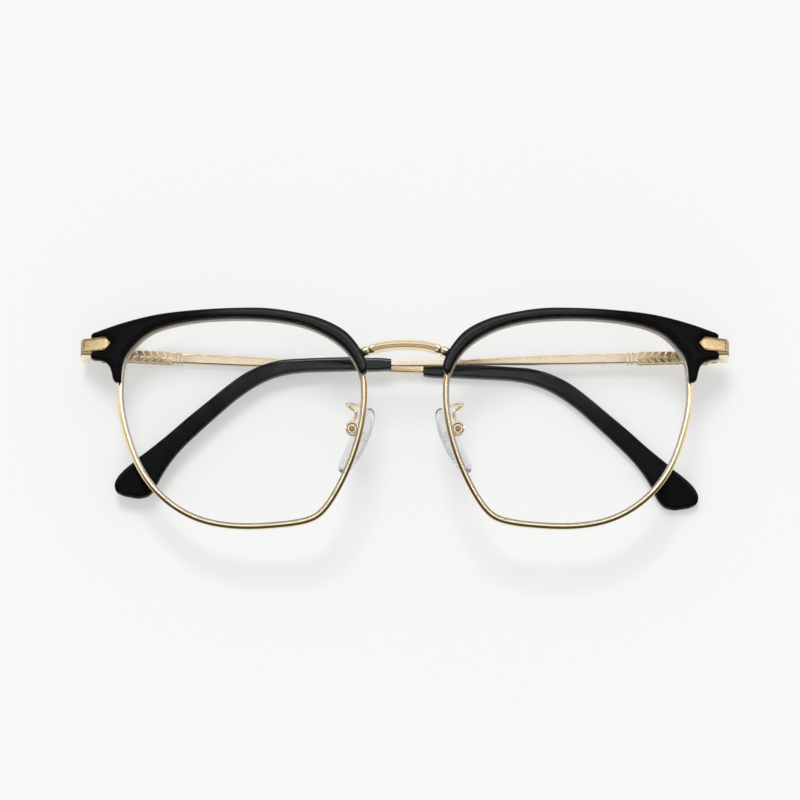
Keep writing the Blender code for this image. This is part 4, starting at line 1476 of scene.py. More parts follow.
@dataclass
class Rim(Piece):
    """Metal rim wire with a rounded front and an inner groove for the lens."""

    width: float = 1.3
    depth: float = 2.2
    slit: float = 0.2
    groove_depth: float = 0.5
    groove_half: float = 0.47
    bead_edge: float = -0.22
    wall_front: float = 1.06
    wall_back: float = 0.7
    segments: int = 640

    def profile(self) -> list[Flat]:
        """The wire's section as outward and rearward points in metres, counter-clockwise.

        Returns:
            The points of the section.
        """
        half, deep, groove = self.width / 2.0, self.depth / 2.0, self.groove_half
        points = [
            (half, deep - 0.66), (half - 0.004, deep - 0.5), (half - 0.02, deep - 0.38),
            (half - 0.045, deep - 0.3), (half - 0.08, deep - 0.25), (half - 0.11, deep - 0.23),
            (0.2, deep - 0.09), (0.14, deep - 0.06), (0.05, deep - 0.01), (-0.06, deep),
            (-0.17, deep - 0.03), (-0.25, deep - 0.08), (-0.3, deep - 0.13),
            (-half + 0.02, deep - 0.3), (-half, deep - 0.36), (-half, groove + 0.03),
            (-half + 0.03, groove), (self.groove_depth - half, 0.0), (-half + 0.03, -groove),
            (-half, -groove - 0.03),
        ]
        points += arc((0.2 - half, 0.2 - deep), 0.2, 180.0, 270.0, 3)
        points += arc((half - 0.2, 0.2 - deep), 0.2, 270.0, 360.0, 3)
        return [(b * MM, -n * MM) for b, n in reversed(points)]

    def build(self) -> None:
        """Sweeps the rim and dresses it."""
        place = STANCE.front()
        turn = place.to_3x3()
        path, ways = [], []
        for i in range(self.segments + 1):
            s = self.slit / 2.0 + (RIM.total - self.slit) * i / self.segments
            here, outward, _ = RIM.frame(s)
            path.append(place @ (self.side.mirror(here) * MM))
            ways.append(turn @ self.side.mirror(outward))
        way = self.side.value
        finish = self.bench.finishes["rim"]
        mesh = self.bench.sweeps.sweep(path[::way], ways[::way], self.profile(), finish)
        self.tell_walls(mesh)
        self.dress("rim_wire", "rim", mesh, ["rim", "groove"], 62.0)

    def tell_walls(self, mesh: Mesh) -> None:
        """Gives the faces of the groove and of the inner wall the second finish.

        Args:
            mesh: The mesh of the rim.
        """
        ring = self.profile()
        gaps = np.cumsum([0.0] + [math.dist(p, q) / MM for p, q in zip(ring, ring[1:])])
        inner = [
            g for g, (b, n) in zip(gaps, ring)
            if b < self.bead_edge * MM and -self.wall_front * MM < n < self.wall_back * MM
        ]
        around = np.empty(len(mesh.vertices), np.float32)
        mesh.attributes["around"].data.foreach_get("value", around)
        for face in mesh.polygons:
            middle = float(np.mean([around[i] for i in face.vertices]))
            if min(inner) < middle < max(inner) and len(face.vertices) == 4:
                face.material_index = 1


@dataclass
class Lens(Piece):
    """Clear curved lens with a ground bevel that sits in the rim's groove."""

    thickness: float = 1.7
    inset: float = 0.662
    bevel: float = -0.31
    bevel_half: float = 0.34
    edge_break: float = 0.06
    segments: int = 240
    rings: int = 14

    def build(self) -> None:
        """Builds the lens and dresses it."""
        half, edge_break = self.thickness / 2.0, self.edge_break
        steps = [
            (-self.inset, -half), (-self.inset, -self.bevel_half), (self.bevel, 0.0),
            (-self.inset, self.bevel_half), (-self.inset, half - edge_break),
            (-self.inset - edge_break, half),
        ]
        points: list[Vector] = []
        for i in range(self.segments):
            edge = [RIM.at(RIM.total * i / self.segments, b, n) for b, n in steps]
            rear, front = [], []
            for j in range(1, self.rings):
                share = j / self.rings
                for rim_point, way, out in ((edge[0], -1, rear), (edge[-1], 1, front)):
                    a, y = (rim_point.x - LENS_CENTRE_X) * share, rim_point.y * share
                    out.append(on_dome(a, y, way * half / dome_normal(a, y).z))
            points += rear + edge + front[::-1]
        size = len(points) // self.segments
        ground = range(self.rings - 1, self.rings + len(steps) - 2)
        turns = [(i * size, (i + 1) % self.segments * size) for i in range(self.segments)]
        faces = [(i + j, i + j + 1, k + j + 1, k + j) for i, k in turns for j in range(size - 1)]
        finishes = [int(j in ground) for _ in turns for j in range(size - 1)]
        pole = len(points)
        points += [on_dome(0.0, 0.0, -half), on_dome(0.0, 0.0, half)]
        for i, k in turns:
            faces += [(pole, i, k), (pole + 1, k + size - 1, i + size - 1)]
            finishes += [0, 0]
        mesh = self.make(Shape(points, faces, finishes))
        self.dress("lens_clear", "lens", mesh, ["lens", "edge"], 30.0)


@dataclass
class BrowBar(Piece):
    """Black bar over the rim, with a slotted wing and a lobe."""

    back: float = -0.2
    front: float = 3.0
    round: float = 0.42
    fall: float = 0.36
    shoulder: float = 1.3
    slope: float = 0.26
    setback: float = 0.05
    lobe_reach: float = 4.7
    nasal_end: float = 11.0
    pitch: float = 0.34
    rim_half: float = 0.65
    rim_front: float = 1.1
    shoulder_power: float = 1.25
    edge_power: float = 2.4
    lean: float = 0.62
    lean_from: float = 27.4
    lean_below: float = 17.5
    lean_fade: float = 0.8
    lean_corner: float = 29.6
    corner_lean: Flat = (-0.3, 0.7)
    inner_steps: int = 240

    def outline(self) -> list[Vector]:
        """The bar's outline over the brow and back along the rim.

        Returns:
            The points of the outline.
        """
        top, wing, sweep = catmull(BAR_TOP, 10), soften(BAR_PRONGS, 0.26), catmull(BAR_SWEEP, 5)
        marks = [(s, RIM.flat(s)) for s in (RIM.total * i / 2000 for i in range(1000))]
        reach = max(s for s, p in marks if p.x < 0.0 and p.y > self.nasal_end)
        inner = []
        for i in range(self.inner_steps + 1):
            s = -self.lobe_reach + (reach + self.lobe_reach) * i / self.inner_steps
            p = RIM.at(s, self.setback - self.rim_half, self.rim_front + RIM_CLEARANCE)
            inner.append(Vector((p.x - LENS_CENTRE_X, p.y)))
        return top[:-1] + wing[:-1] + sweep[:-1] + inner

    def height(self, gaps: np.ndarray) -> np.ndarray:
        """Front height at distances from the outline, with a rounded edge and a light crown.

        Args:
            gaps: The distances.

        Returns:
            One height for each distance.
        """
        lack = np.clip(1.0 - gaps / self.round, 0.0, 1.0)
        slope = self.slope * np.clip(self.shoulder - gaps, 0.0, self.shoulder) ** self.shoulder_power
        edge = 1.0 - np.sqrt(np.maximum(1.0 - lack ** self.edge_power, 0.0))
        return self.front - slope - self.fall * edge

    def draft(self, spot: Vector, inward: Vector) -> Vector:
        """Shift that tucks the rear of the wing's chin side under its front.

        Args:
            spot: Place on the rear outline.
            inward: Inward direction there.

        Returns:
            The shift.
        """
        aside, under = spot.x - self.lean_from, self.lean_below - spot.y
        share = max(0.0, inward.y) * min(1.0, max(0.0, aside / self.lean_fade))
        share *= min(1.0, max(0.0, under / self.lean_fade))
        lean = self.lean * share
        return Vector((0.0, lean)) if spot.x > self.lean_corner else Vector(self.corner_lean) * lean

    def build(self) -> None:
        """Builds the bar and dresses it."""
        rows = [0.02, 0.06, 0.12, 0.2, 0.3, 0.42, 0.58, 0.76, 0.95, 1.15]
        outline = self.outline()
        mesh = self.make(plate(outline, self.back, self.height, rows, self.pitch, self.draft))
        reach, rise = self.rim_half + RIM_CLEARANCE, self.rim_front + RIM_CLEARANCE
        box = [(-3.0, -3.0), (reach, -3.0), (reach, rise), (-3.0, rise)]
        mesh = self.cut(mesh, RIM.channel(box, 260))
        mesh = carve(mesh, Bridge(self.bench).room().mesh(STANCE.front()))
        mesh = self.cut(mesh, self.brow_screw_hole())
        self.dress("brow_bar_black", "brow_bar", mesh, ["bar"], 32.0)


@dataclass
class EndPiece(Piece):
    """Gold plate in the wing's slot, with the elbow towards the hinge. The plate carries a darkened
    copy of the gold as painted shade, and the elbow a brightened copy as painted light.
    """

    back: float = -0.2
    front: float = 2.8
    low: float = 17.75
    high: float = 21.31
    slope: float = 0.15
    edge: float = 0.3
    border: float = 0.07
    border_at: float = 0.36
    elbow_pivot: float = -7.0
    plate_margin: float = 0.05

    def height(self, gaps: np.ndarray) -> np.ndarray:
        """Front height at distances from the outline: a rounded edge and a raised border.

        Args:
            gaps: The distances.

        Returns:
            One height for each distance.
        """
        lack = (self.edge - np.clip(gaps, 0.0, self.edge)) / self.edge
        edge = self.edge - self.edge * np.sqrt(np.clip(1.0 - lack ** 2, 0, 1))
        border = self.border * np.exp(-(((gaps - self.border_at) / self.border) ** 2))
        return self.front - edge - border

    def build(self) -> None:
        """Builds the end piece and dresses it."""
        corners: list[Flat] = [
            (34.0, 21.26), (31.7, 21.3), (31.25, 21.05), (30.3, 19.8), (30.16, 19.48),
            (30.3, 19.15), (31.25, 17.98), (31.7, 17.76), (36.86, 17.86), (36.86, 21.2),
            (34.0, 21.26),
        ]
        rows = [0.03, 0.08, 0.14, 0.2, 0.26, 0.31, 0.36, 0.43, 0.5]
        mesh = self.make(plate(soften(corners, 0.3)[:-1], self.back, self.height, rows, 0.24))
        plan: list[Flat] = [
            (63.5, -7.2), (66.45, -8.12), (66.95, -7.55), (70.4, -7.95), (72.85, -7.62),
            (73.18, -8.0), (73.3, -8.6), (73.3, -11.95), (71.4, -11.95), (71.4, -9.7),
            (67.3, -9.7), (65.0, -8.95), (63.5, -8.5),
        ]
        elbow = prism(plan, self.low, self.high, "y").moved(
            lambda p: Vector((p.x, p.y + self.slope * (p.z - self.elbow_pivot), p.z))
        )
        mesh = self.cut(self.add(mesh, elbow, 0.16), self.brow_screw_hole())
        # Faces behind the plate take the elbow's brightened gold (painted light), the others the
        # plate's darkened gold (painted shade)
        to_front = STANCE.front().inverted()
        for face in mesh.polygons:
            spot = to_front @ face.center / MM
            under = dome(abs(spot.x) - LENS_CENTRE_X, spot.y) + self.back - self.plate_margin
            face.material_index = int(spot.z < under)
        self.dress("end_plate", "end_piece", mesh, ["plate", "elbow"], 30.0)


@dataclass
class Bridge(Piece):
    """Double bridge bar with a groove along its front, and a slanted neck near each end."""

    reach: float = 11.9
    room_reach: float = 11.4
    groove_to: float = 6.75
    plain_from: float = 6.98
    neck_from: float = 7.42
    neck_to: float = 8.2
    neck: float = 0.66
    stub: float = 1.06
    crown: float = 0.93
    half_width: float = 1.22

    def centre_line(self, reach: float, samples: int) -> list[Vector]:
        """Samples of the whole centre line.

        Args:
            reach: How far it goes to each side.
            samples: Samples for each span.

        Returns:
            The samples, from right to left.
        """
        half = [
            (0.0, 17.3, 0.5), (2.6, 17.2, 0.48), (5.0, 16.95, 0.34), (6.8, 16.55, 0.1),
            (7.9, 16.25, -0.15), (8.5, 16.08, -0.35), (9.2, 15.9, -0.65), (10.2, 15.65, -1.1),
            (reach, 15.35, -1.35),
        ]
        return catmull([(-x, y, z) for x, y, z in half[:0:-1]] + half, samples)

    def profiles(self) -> tuple[list[Flat], list[Flat]]:
        """The grooved section and the plain section, point by point.

        Returns:
            Both sections, with as many points in one as in the other.
        """
        grooved: list[Flat] = [
            (1.16, -0.05), (1.14, 0.2), (1.04, 0.42), (0.95, 0.5), (0.9, 0.47), (0.86, 0.56),
            (0.78, 0.78), (0.6, 0.9), (0.38, 0.93), (0.17, 0.86), (0.08, 0.74), (0.02, 0.3),
            (-0.08, 0.12), (-0.2, 0.3), (-0.26, 0.66), (-0.38, 0.79), (-0.54, 0.81), (-0.68, 0.7),
            (-0.76, 0.5), (-0.82, 0.4), (-0.88, 0.44), (-0.98, 0.42), (-1.1, 0.18), (-1.13, -0.1),
            (-1.02, -0.6), (-0.6, -0.86), (0.0, -0.9), (0.6, -0.86), (1.04, -0.6),
        ]
        plain: list[Flat] = []
        for q, n in grooved:
            if n > 0.25 or (n > 0.0 and abs(q) < 1.0):
                n = self.crown * math.sqrt(max(0.0, 1.0 - (abs(q) / self.half_width) ** 2.6))
            plain.append((q, n))
        return grooved, plain

    def stations(self, line: Sequence[Vector]) -> list[tuple[Vector, Vector, float, float]]:
        """Place, direction, girth and share of the groove along the centre line.

        Args:
            line: Samples of the centre line.

        Returns:
            The stations, in order.
        """
        stops: list[tuple[Vector, Vector, float, float]] = []
        marks = (self.groove_to, self.plain_from, self.neck_from, self.neck_to - 0.02, self.neck_to)
        shares = ((1.0, 1.0), (1.0, 0.0), (0.99, 0.0), (self.neck, 0.0), (self.stub, 0.0))
        for p, q in zip(line, line[1:]):
            along = (q - p).normalized()
            low, high = sorted((abs(p.x), abs(q.x)))
            if low < marks[0]:
                stops.append((p, along, 1.0, 1.0))
            elif low > marks[-1]:
                stops.append((p, along, self.stub, 0.0))
            found = list(zip(marks, shares))[:: -1 if p.x < 0.0 else 1]
            for mark, (girth, groove) in found:
                if low <= mark < high and p.x * q.x > 0.0:
                    here = p.lerp(q, (mark - abs(p.x)) / (abs(q.x) - abs(p.x)))
                    stops.append((here, along, girth, groove))
        stops.append((line[-1], (line[-1] - line[-2]).normalized(), self.stub, 0.0))
        return stops

    @staticmethod
    def ring(spot: Vector, along: Vector, section: Iterable[Sequence[float]]) -> list[Vector]:
        """A section of (upward, outward) points across a direction.

        Args:
            spot: The middle of the ring.
            along: The direction that it stands across.
            section: The points of the section.

        Returns:
            The points of the ring.
        """
        up = Vector((0.0, 0.0, 1.0)).cross(along).normalized()
        out = along.cross(up).normalized()
        return [spot + up * q + out * n for q, n in section]

    def skin(self) -> Shape:
        """Swept skin of the bridge.

        Returns:
            The skin.
        """
        grooved, plain = self.profiles()
        rings = []
        for p, along, girth, groove in self.stations(self.centre_line(self.reach, 8)):
            mixed = [
                (Vector(a) * groove + Vector(b) * (1.0 - groove)) * girth
                for a, b in zip(grooved, plain)
            ]
            rings.append(self.ring(p, along, mixed))
        return loft(rings)

    def room(self) -> Shape:
        """Plain channel that the bridge needs inside the brow bars.

        Returns:
            The channel, as a solid.
        """
        corners: list[Flat] = [
            (1.22, 0.5), (0.95, 1.07), (-0.95, 1.07), (-1.22, 0.5), (-1.22, -1.34), (1.22, -1.34)
        ]
        line = self.centre_line(self.room_reach, 3)
        return loft([self.ring(p, heading(line, i), corners) for i, p in enumerate(line)])

    def build(self) -> None:
        """Builds the bridge, trims it to both rims and dresses it."""
        mesh = self.make(self.skin())
        reach = Rim.width / 2.0 + RIM_CLEARANCE * 0.4
        box = [(-2.6, -3.0), (reach, -3.0), (reach, 3.0), (-2.6, 3.0)]
        for side in Side:
            mesh = carve(mesh, RIM.channel(box, 200).mesh(STANCE.front(), side))
        self.bench.finish("bridge_bar", mesh, ["bridge"], "front", "bridge", 24.0)


@dataclass
class Hinge(Piece):
    """Closing block of the rim and both leaves of the hinge, with their screws."""

    knuckle_radius: float = 1.1
    knuckle_height: float = 1.05
    knuckle_gap: float = 0.1
    bore: float = 0.51
    block_a: float = 28.7
    block_behind: float = 1.484
    block_radius: float = 1.0
    block_bore: float = 0.6

    def build(self) -> None:
        """Builds the block, the leaves and the screws."""
        self.build_block()
        self.build_front_leaf()
        top = dome(BROW_SCREW_A, BROW_SCREW_Y)
        steps = [
            (0.42, -top - 1.4), (0.42, 2.45 - top), (0.77, 2.45 - top), (0.85, 2.53 - top),
            (0.85, 2.82 - top), (0.77, 2.9 - top),
        ]
        self.screw(
            "bar_screw", "brow_screw", steps,
            lambda p: Vector((p.x + LENS_CENTRE_X + BROW_SCREW_A, BROW_SCREW_Y - p.y, -p.z)),
            0.22, 60.0,
        )
        self.build_temple_leaf()

    def build_block(self) -> None:
        """Builds the split block that closes the rim, with its screw."""
        x = LENS_CENTRE_X + self.block_a
        z = dome(self.block_a, RIM_SPLIT_Y) - self.block_behind
        hole = upright(rod(self.block_bore, 11.0, 18.0), x, z)
        for name, low, high in (("upper", 14.6, 16.25), ("lower", 12.75, 14.4)):
            block = upright(lathe(drum(self.block_radius, low, high, 0.12)), x, z)
            mesh = self.cut(self.make(block), hole)
            self.dress("closing_block_" + name, "rim_block_" + name, mesh, ["hinge"], 30.0)
        steps = [
            (0.5, -16.2), (0.5, -12.65), (0.82, -12.65), (0.9, -12.57), (0.9, -12.2), (0.82, -12.1)
        ]
        self.screw(
            "closing_screw", "rim_screw", steps, lambda p: Vector((p.x + x, -p.z, z + p.y)),
            0.25, 25.0,
        )

    def build_front_leaf(self) -> None:
        """Builds the leaf on the front with its two knuckles, and the hinge's screw."""
        x, z = STANCE.hinge_x, STANCE.hinge_z
        pitch, half = self.knuckle_height + self.knuckle_gap, self.knuckle_height / 2.0
        middles = [STANCE.hinge_y(self.side) + k * pitch for k in (-1, 1)]
        low, high = middles[0] - half, middles[1] + half
        plan = [(67.9, -10.4), (71.25, -10.4), (71.25, -9.8), (67.9, -9.8)]
        neck = [(69.2, -11.5), (71.0, -11.5), (71.0, -10.1), (69.2, -10.1)]
        leaf = bevel(self.make(prism(plan, low, high, "y")), 0.1)
        for y in middles:
            leaf = self.add(leaf, upright(lathe(drum(self.knuckle_radius, y - half, y + half)), x, z))
            leaf = self.add(leaf, prism(neck, y - half, y + half, "y"), 0.06)
        leaf = self.cut(leaf, upright(rod(self.bore, low - 2.0, high + 2.0), x, z))
        self.dress("hinge_leaf_front", "hinge_front", leaf, ["hinge"], 30.0)
        steps = [
            (0.45, low + 0.05), (0.45, high + 0.08), (0.77, high + 0.08), (0.85, high + 0.16),
            (0.85, high + 0.36), (0.76, high + 0.45),
        ]
        self.screw(
            "hinge_pin", "hinge_screw", steps, lambda p: Vector((p.x + x, p.z, z - p.y)), 0.22, 40.0
        )

    def build_temple_leaf(self) -> None:
        """Builds the leaf that turns with the temple."""
        place, half = STANCE.hinge(self.side), self.knuckle_height / 2.0

        def at_hinge(shape: Shape) -> Mesh:
            """Mesh of a shape drawn from the hinge axis."""
            return shape.mesh(place, self.side)

        neck = [(0.3, -1.16), (0.3, -0.63), (-2.0, -0.63), (-2.0, -1.16)]
        wide = [(-1.34, -1.2), (-1.34, -0.6), (-5.6, -0.6), (-5.6, -1.2)]
        mesh = at_hinge(upright(lathe(drum(self.knuckle_radius, -half, half)), 0.0, 0.0))
        neck_mesh = bevel(at_hinge(prism(neck, 0.02 - half, half - 0.02, "y")), 0.05)
        wide_mesh = bevel(at_hinge(prism(wide, -1.04, 1.06, "y")), 0.08)
        mesh = carve(carve(mesh, neck_mesh, "UNION"), wide_mesh, "UNION")
        mesh = carve(mesh, at_hinge(upright(rod(self.bore, -4.0, 4.0), 0.0, 0.0)))
        body = "temple_" + self.side.word
        self.dress("hinge_leaf_temple", "hinge_temple", mesh, ["hinge"], 30.0, body)


@dataclass
class NosePad(Piece):
    """Wire arm, round box, screw and clear pad of one side."""

    screw_x: float = 11.85
    screw_y: float = -0.9
    wire: float = 0.42
    hole: float = 0.5
    length: float = 8.2
    breadth: float = 3.25
    half_thickness: float = 0.8
    bow: float = 0.011
    edge_inset: Flat = (1.1, 0.85)
    roundness: Flat = (0.88, 0.86)
    taper: float = 0.03
    edge_turn: float = 82.0
    edge_steps: int = 12
    around: int = 56

    def seat(self, shape: Shape) -> Shape:
        """A shape drawn about the screw, moved to its place."""
        return shape.moved(lambda p: p + Vector((self.screw_x, self.screw_y, 0.0)))

    def build_arm(self) -> None:
        """Sweeps the wire arm from the rim to the box."""
        stops = [
            (9.75, 3.7, -2.35), (10.7, 4.15, -3.2), (12.3, 4.75, -4.4), (12.95, 4.85, -5.3),
            (12.1, 4.35, -6.0), (11.0, 3.5, -5.9), (10.95, 2.3, -5.4), (11.35, 1.5, -4.95),
            (11.75, 1.12, -4.8),
        ]
        place = STANCE.front()
        line = [place @ (self.side.mirror(p) * MM) for p in catmull(stops, 9)]
        lean = heading(line, 0).orthogonal()
        ways: list[Vector] = []
        for i in range(len(line)):
            along = heading(line, i)
            lean = (lean - along * lean.dot(along)).normalized()
            ways.append(lean)
        finish = self.bench.finishes["hinge"]
        mesh = self.bench.sweeps.sweep(line, ways, circle(self.wire * MM, 20), finish)
        self.dress("pad_wire", "pad_arm", mesh, ["bridge"], 40.0)

    def build_box(self) -> None:
        """Builds the round box with its screw."""
        cup = [
            (1.4, -4.2), (1.48, -4.14), (1.5, -4.05), (1.5, -3.82), (1.44, -3.66), (1.3, -3.6),
            (1.14, -3.64), (1.04, -3.76), (1.0, -4.0), (0.98, -4.06), (0.6, -4.06),
        ]
        web = [(11.2, 0.28), (12.5, 0.28), (12.3, 0.95), (11.4, 0.95)]
        mesh = self.make(self.seat(lathe(cup, 56)))
        mesh = self.add(mesh, self.seat(lathe(drum(1.3, -5.9, -5.3, 0.12), 56)))
        mesh = self.add(mesh, prism(web, -5.82, -3.78, "z"), 0.1)
        mesh = self.cut(mesh, self.seat(rod(self.hole, -8.0, -2.0)))
        self.dress("pad_cup", "pad_box", mesh, ["bridge"], 34.0)
        steps = [
            (0.42, -5.85), (0.42, -3.95), (0.6, -3.95), (0.64, -3.9), (0.64, -3.62), (0.58, -3.5),
            (0.4, -3.44),
        ]
        spot = Vector((self.screw_x, self.screw_y, 0.0))
        self.screw("pad_pin", "pad_screw", steps, lambda p: p + spot, 0.2, 35.0)

    def pad_shape(self) -> Shape:
        """The pad's plate, bowed along its length and rounded at its edge.

        Returns:
            The plate.
        """
        centre = Vector((10.4, -2.9, -7.7))
        up = Vector((-0.39, 0.92, 0.0)).normalized()
        back = Vector((0.545, 0.231, -0.806)).normalized()
        nasal = up.cross(back).normalized()
        rings = []
        for k in range(self.edge_steps + 1):
            turn = math.radians(self.edge_turn * (2.0 * k / self.edge_steps - 1.0))
            shrink, t = 1.0 - math.cos(turn), self.half_thickness * math.sin(turn)
            ring = []
            for i in range(self.around):
                angle = 2.0 * math.pi * i / self.around
                c, s = math.cos(angle), math.sin(angle)
                u = math.copysign(abs(s) ** self.roundness[0], s)
                u *= self.length - self.edge_inset[0] * shrink
                v = math.copysign(abs(c) ** self.roundness[1], c)
                v *= (self.breadth - self.edge_inset[1] * shrink) * (1.0 - self.taper * s)
                ring.append(centre + up * u + back * v + nasal * (t - self.bow * u * u))
            rings.append(ring)
        return loft(rings)

    def build(self) -> None:
        """Builds all of one side's nose support."""
        self.build_arm()
        self.build_box()
        outline = arc((self.screw_x, self.screw_y), 1.1, -75.0, 135.0, 14)
        outline += [(8.6, -1.7), (8.3, -3.4), (9.4, -3.7)]
        mesh = self.add(self.make(self.pad_shape()), prism(outline, -5.2, -4.3, "z"), 0.1)
        mesh = self.cut(mesh, self.seat(rod(self.hole, -8.0, -2.0)))
        self.dress("pad_soft", "nose_pad", mesh, ["pad"], 34.0, "nose_pad_" + self.side.word)


@dataclass
class Temple(Piece):
    """Metal temple with its chevron panel and its dark end sleeve."""

    offset: float = 1.9
    thickness: float = 1.2
    panel_inner: float = 1.3
    panel_outer: float = 3.2
    sleeve_thickness: float = 2.6
    core: float = 0.6
    bore: float = 0.76
    late_right: float = 1.15
    tail_rings: float = 7.0
    tail_thinning: float = 0.75
    tail_power: float = 2.2
    lead_rings: float = 2.0
    lead_thinning: float = 0.2
    rib_count: int = 10
    rib_pitch: float = 1.6
    rib_first: float = 1.95
    rib_rise: float = 0.2
    rib_reach: float = 0.95

    @property
    def late(self) -> float:
        """How much later this side's sleeve starts."""
        return self.late_right if self.side is Side.RIGHT else 0.0

    def point(self, s: float, w: float, d: float) -> Vector:
        """Point along the temple, drop w below its line and at depth d."""
        return Vector((-s, -STANCE.drop(self.side) * s - w, -d))

    def rails(self, samples: int) -> list[tuple[Vector, Vector]]:
        """Matching samples of the upper and lower edge of the end."""
        return list(zip(catmull(TIP_UPPER, samples), catmull(TIP_LOWER, samples)))

    def core_rings(self, radius: float, lead: float) -> list[list[Vector]]:
        """Rings of the wire core or its bore along the end, the first drawn towards the hinge.

        Args:
            radius: Radius of the core or bore.
            lead: How far before the end the first ring lies.

        Returns:
            The rings.
        """
        line = [(u + v) / 2.0 + Vector((self.late, 0.0)) for u, v in self.rails(4)[:45]]
        line = [p for p in line if p.x > line[0].x + 0.2]
        line.insert(0, Vector((TIP_UPPER[0][0] + self.late - lead, 0.0)))
        section = arc((0.0, 0.0), radius, 90.0, -270.0, 26)[:-1]
        rings = []
        for i, p in enumerate(line):
            along = heading(line, i)
            spots = [(p + Vector((-along.y, along.x)) * q, h) for q, h in section]
            rings.append([self.point(spot.x, spot.y, self.offset + h) for spot, h in spots])
        return rings

    def arm_shape(self) -> Shape:
        """The bar with its panel, two collars, tapering wire and core.

        Returns:
            The skin of the whole arm.
        """
        near, far = self.offset - self.thickness / 2.0, self.offset + self.thickness / 2.0
        top, low = self.panel_inner, self.panel_outer
        stops = [
            (0.5, 1.12, top + 0.18, low - 0.18, 0.2), (0.58, 1.22, top + 0.08, low - 0.08, 0.24),
            (0.75, 1.3, top, low, 0.25), (1.2, 1.3, top, low, 0.25),
            (1.35, 1.16, top + 0.12, low - 0.12, 0.22),
            (17.1, 1.16, top + 0.12, low - 0.12, 0.22), (17.2, 1.22, top + 0.02, low - 0.02, 0.25),
            (17.75, 1.22, top + 0.02, low - 0.02, 0.25), (17.87, 1.14, near, far + 0.25, 0.25),
            (18.2, 1.14, near, far + 0.25, 0.25), (18.3, 1.34, near - 0.1, far + 0.52, 0.28),
            (18.4, 1.4, near - 0.12, far + 0.6, 0.28), (18.75, 1.4, near - 0.12, far + 0.6, 0.28),
            (18.85, 1.34, near - 0.1, far + 0.52, 0.28), (18.93, 1.15, near, far + 0.22, 0.25),
            (19.12, 1.15, near, far + 0.22, 0.25), (19.22, 1.34, near - 0.1, far + 0.46, 0.28),
            (19.32, 1.4, near - 0.12, far + 0.56, 0.28), (19.62, 1.4, near - 0.12, far + 0.55, 0.28),
            (19.74, 1.26, near - 0.08, far + 0.25, 0.28), (19.86, 1.17, near, far, 0.26),
        ]
        stops += [(s, half, near, far, 0.26) for s, half in (
            (26.0, 1.16), (33.4, 1.13), (38.0, 1.03), (44.0, 0.9), (50.0, 0.76), (55.4, 0.66),
            (64.0, 0.65), (72.6 + self.late, 0.64),
        )]
        rings = [[self.point(s, w, d) for w, d in facet_box(*section)] for s, *section in stops]
        return loft(rings + self.core_rings(self.core, 0.35))

    def rib(self) -> Shape:
        """One raised chevron, drawn with its tip along +X and its face towards +Z.

        Returns:
            The rib.
        """
        wide, rise = self.rib_pitch * 0.48, self.rib_rise
        section: list[Flat] = [
            (-wide, -0.12), (-wide, 0.0), (-wide * 0.15, rise * 0.5), (wide * 0.4, rise * 0.97),
            (wide * 0.52, rise * 0.95), (wide * 0.86, 0.0), (wide * 0.9, -0.12),
        ]
        half = [
            (1.4, -0.35, 0.35), (1.35, -0.1, 0.75), (1.22, 0.0, 1.0), (0.8, 0.0, 1.0),
            (0.4, 0.0, 1.0), (0.1, 0.0, 0.95), (0.03, -0.02, 0.8),
        ]
        stops = [(-w, sink, share) for w, sink, share in half] + [(0.0, -0.03, 0.75)] + half[::-1]
        rings = []
        for w, sink, share in stops:
            lead = self.rib_reach * (1.0 - abs(w) / 1.3)
            rings.append([
                Vector((lead + u * (0.7 + 0.3 * share), w, v * share + sink * 0.5))
                for u, v in section
            ])
        return loft(rings)

    def build_ribs(self) -> None:
        """Sets the chevrons on both faces of the panel."""
        with placed(self.rib().mesh(Matrix.Identity(4))) as rib:
            run = self.bench.ribs.run(
                bpy.data.meshes.new("line"), Finish=self.bench.finishes["chevron"], Rib=rib,
                Count=self.rib_count, Step=Vector((self.rib_pitch * MM, 0.0, 0.0)),
                First=Vector((self.rib_first * MM, 0.0, 0.0)),
            )
        spots = [v.co / MM for v in run.vertices]
        faces = [tuple(p.vertices) for p in run.polygons]
        points = [self.point(p.x, p.y, self.panel_inner + 0.13 - p.z) for p in spots]
        points += [self.point(p.x, p.y, self.panel_outer - 0.21 + p.z) for p in spots]
        faces += [tuple(i + len(spots) for i in reversed(face)) for face in faces]
        mesh = Shape(points, faces).mesh(STANCE.hinge(self.side), self.side)
        body = "temple_" + self.side.word
        self.dress("temple_chevrons", "temple_arm", mesh, ["chevron"], 28.0, body)

    def sleeve_shape(self) -> Shape:
        """The end sleeve: a flat oval section that sweeps down and swells.

        Returns:
            The skin of the sleeve, without its bore.
        """
        half_thick = self.sleeve_thickness / 2.0
        rails = self.rails(7)
        rings = []
        for i, (u, v) in enumerate(rails):
            tail = max(0.0, 1.0 - (len(rails) - 1 - i) / self.tail_rings)
            lead = self.lead_thinning * max(0.0, 1.0 - i / self.lead_rings) ** 2
            thick = half_thick - (self.tail_thinning * tail ** self.tail_power + lead)
            middle, across = (u + v) / 2.0 + Vector((self.late, 0.0)), (v - u).normalized()
            half = (v - u).length / 2.0 - lead
            section = shoulder_box(half, self.offset - thick, self.offset + thick)
            spots = [(middle + across * w, d) for w, d in section]
            rings.append([self.point(p.x, p.y, d) for p, d in spots])
        return loft(rings)

    def build(self) -> None:
        """Builds the bar, the chevrons and the sleeve."""
        place, body = STANCE.hinge(self.side), "temple_" + self.side.word
        arm = self.arm_shape().mesh(place, self.side)
        self.dress("temple_bar", "temple_arm", arm, ["temple"], 34.0, body)
        self.build_ribs()
        sleeve = self.sleeve_shape().mesh(place, self.side)
        sleeve = carve(sleeve, loft(self.core_rings(self.bore, 1.0)).mesh(place, self.side))
        self.dress("temple_sleeve", "temple_tip", sleeve, ["sleeve"], 50.0, body)


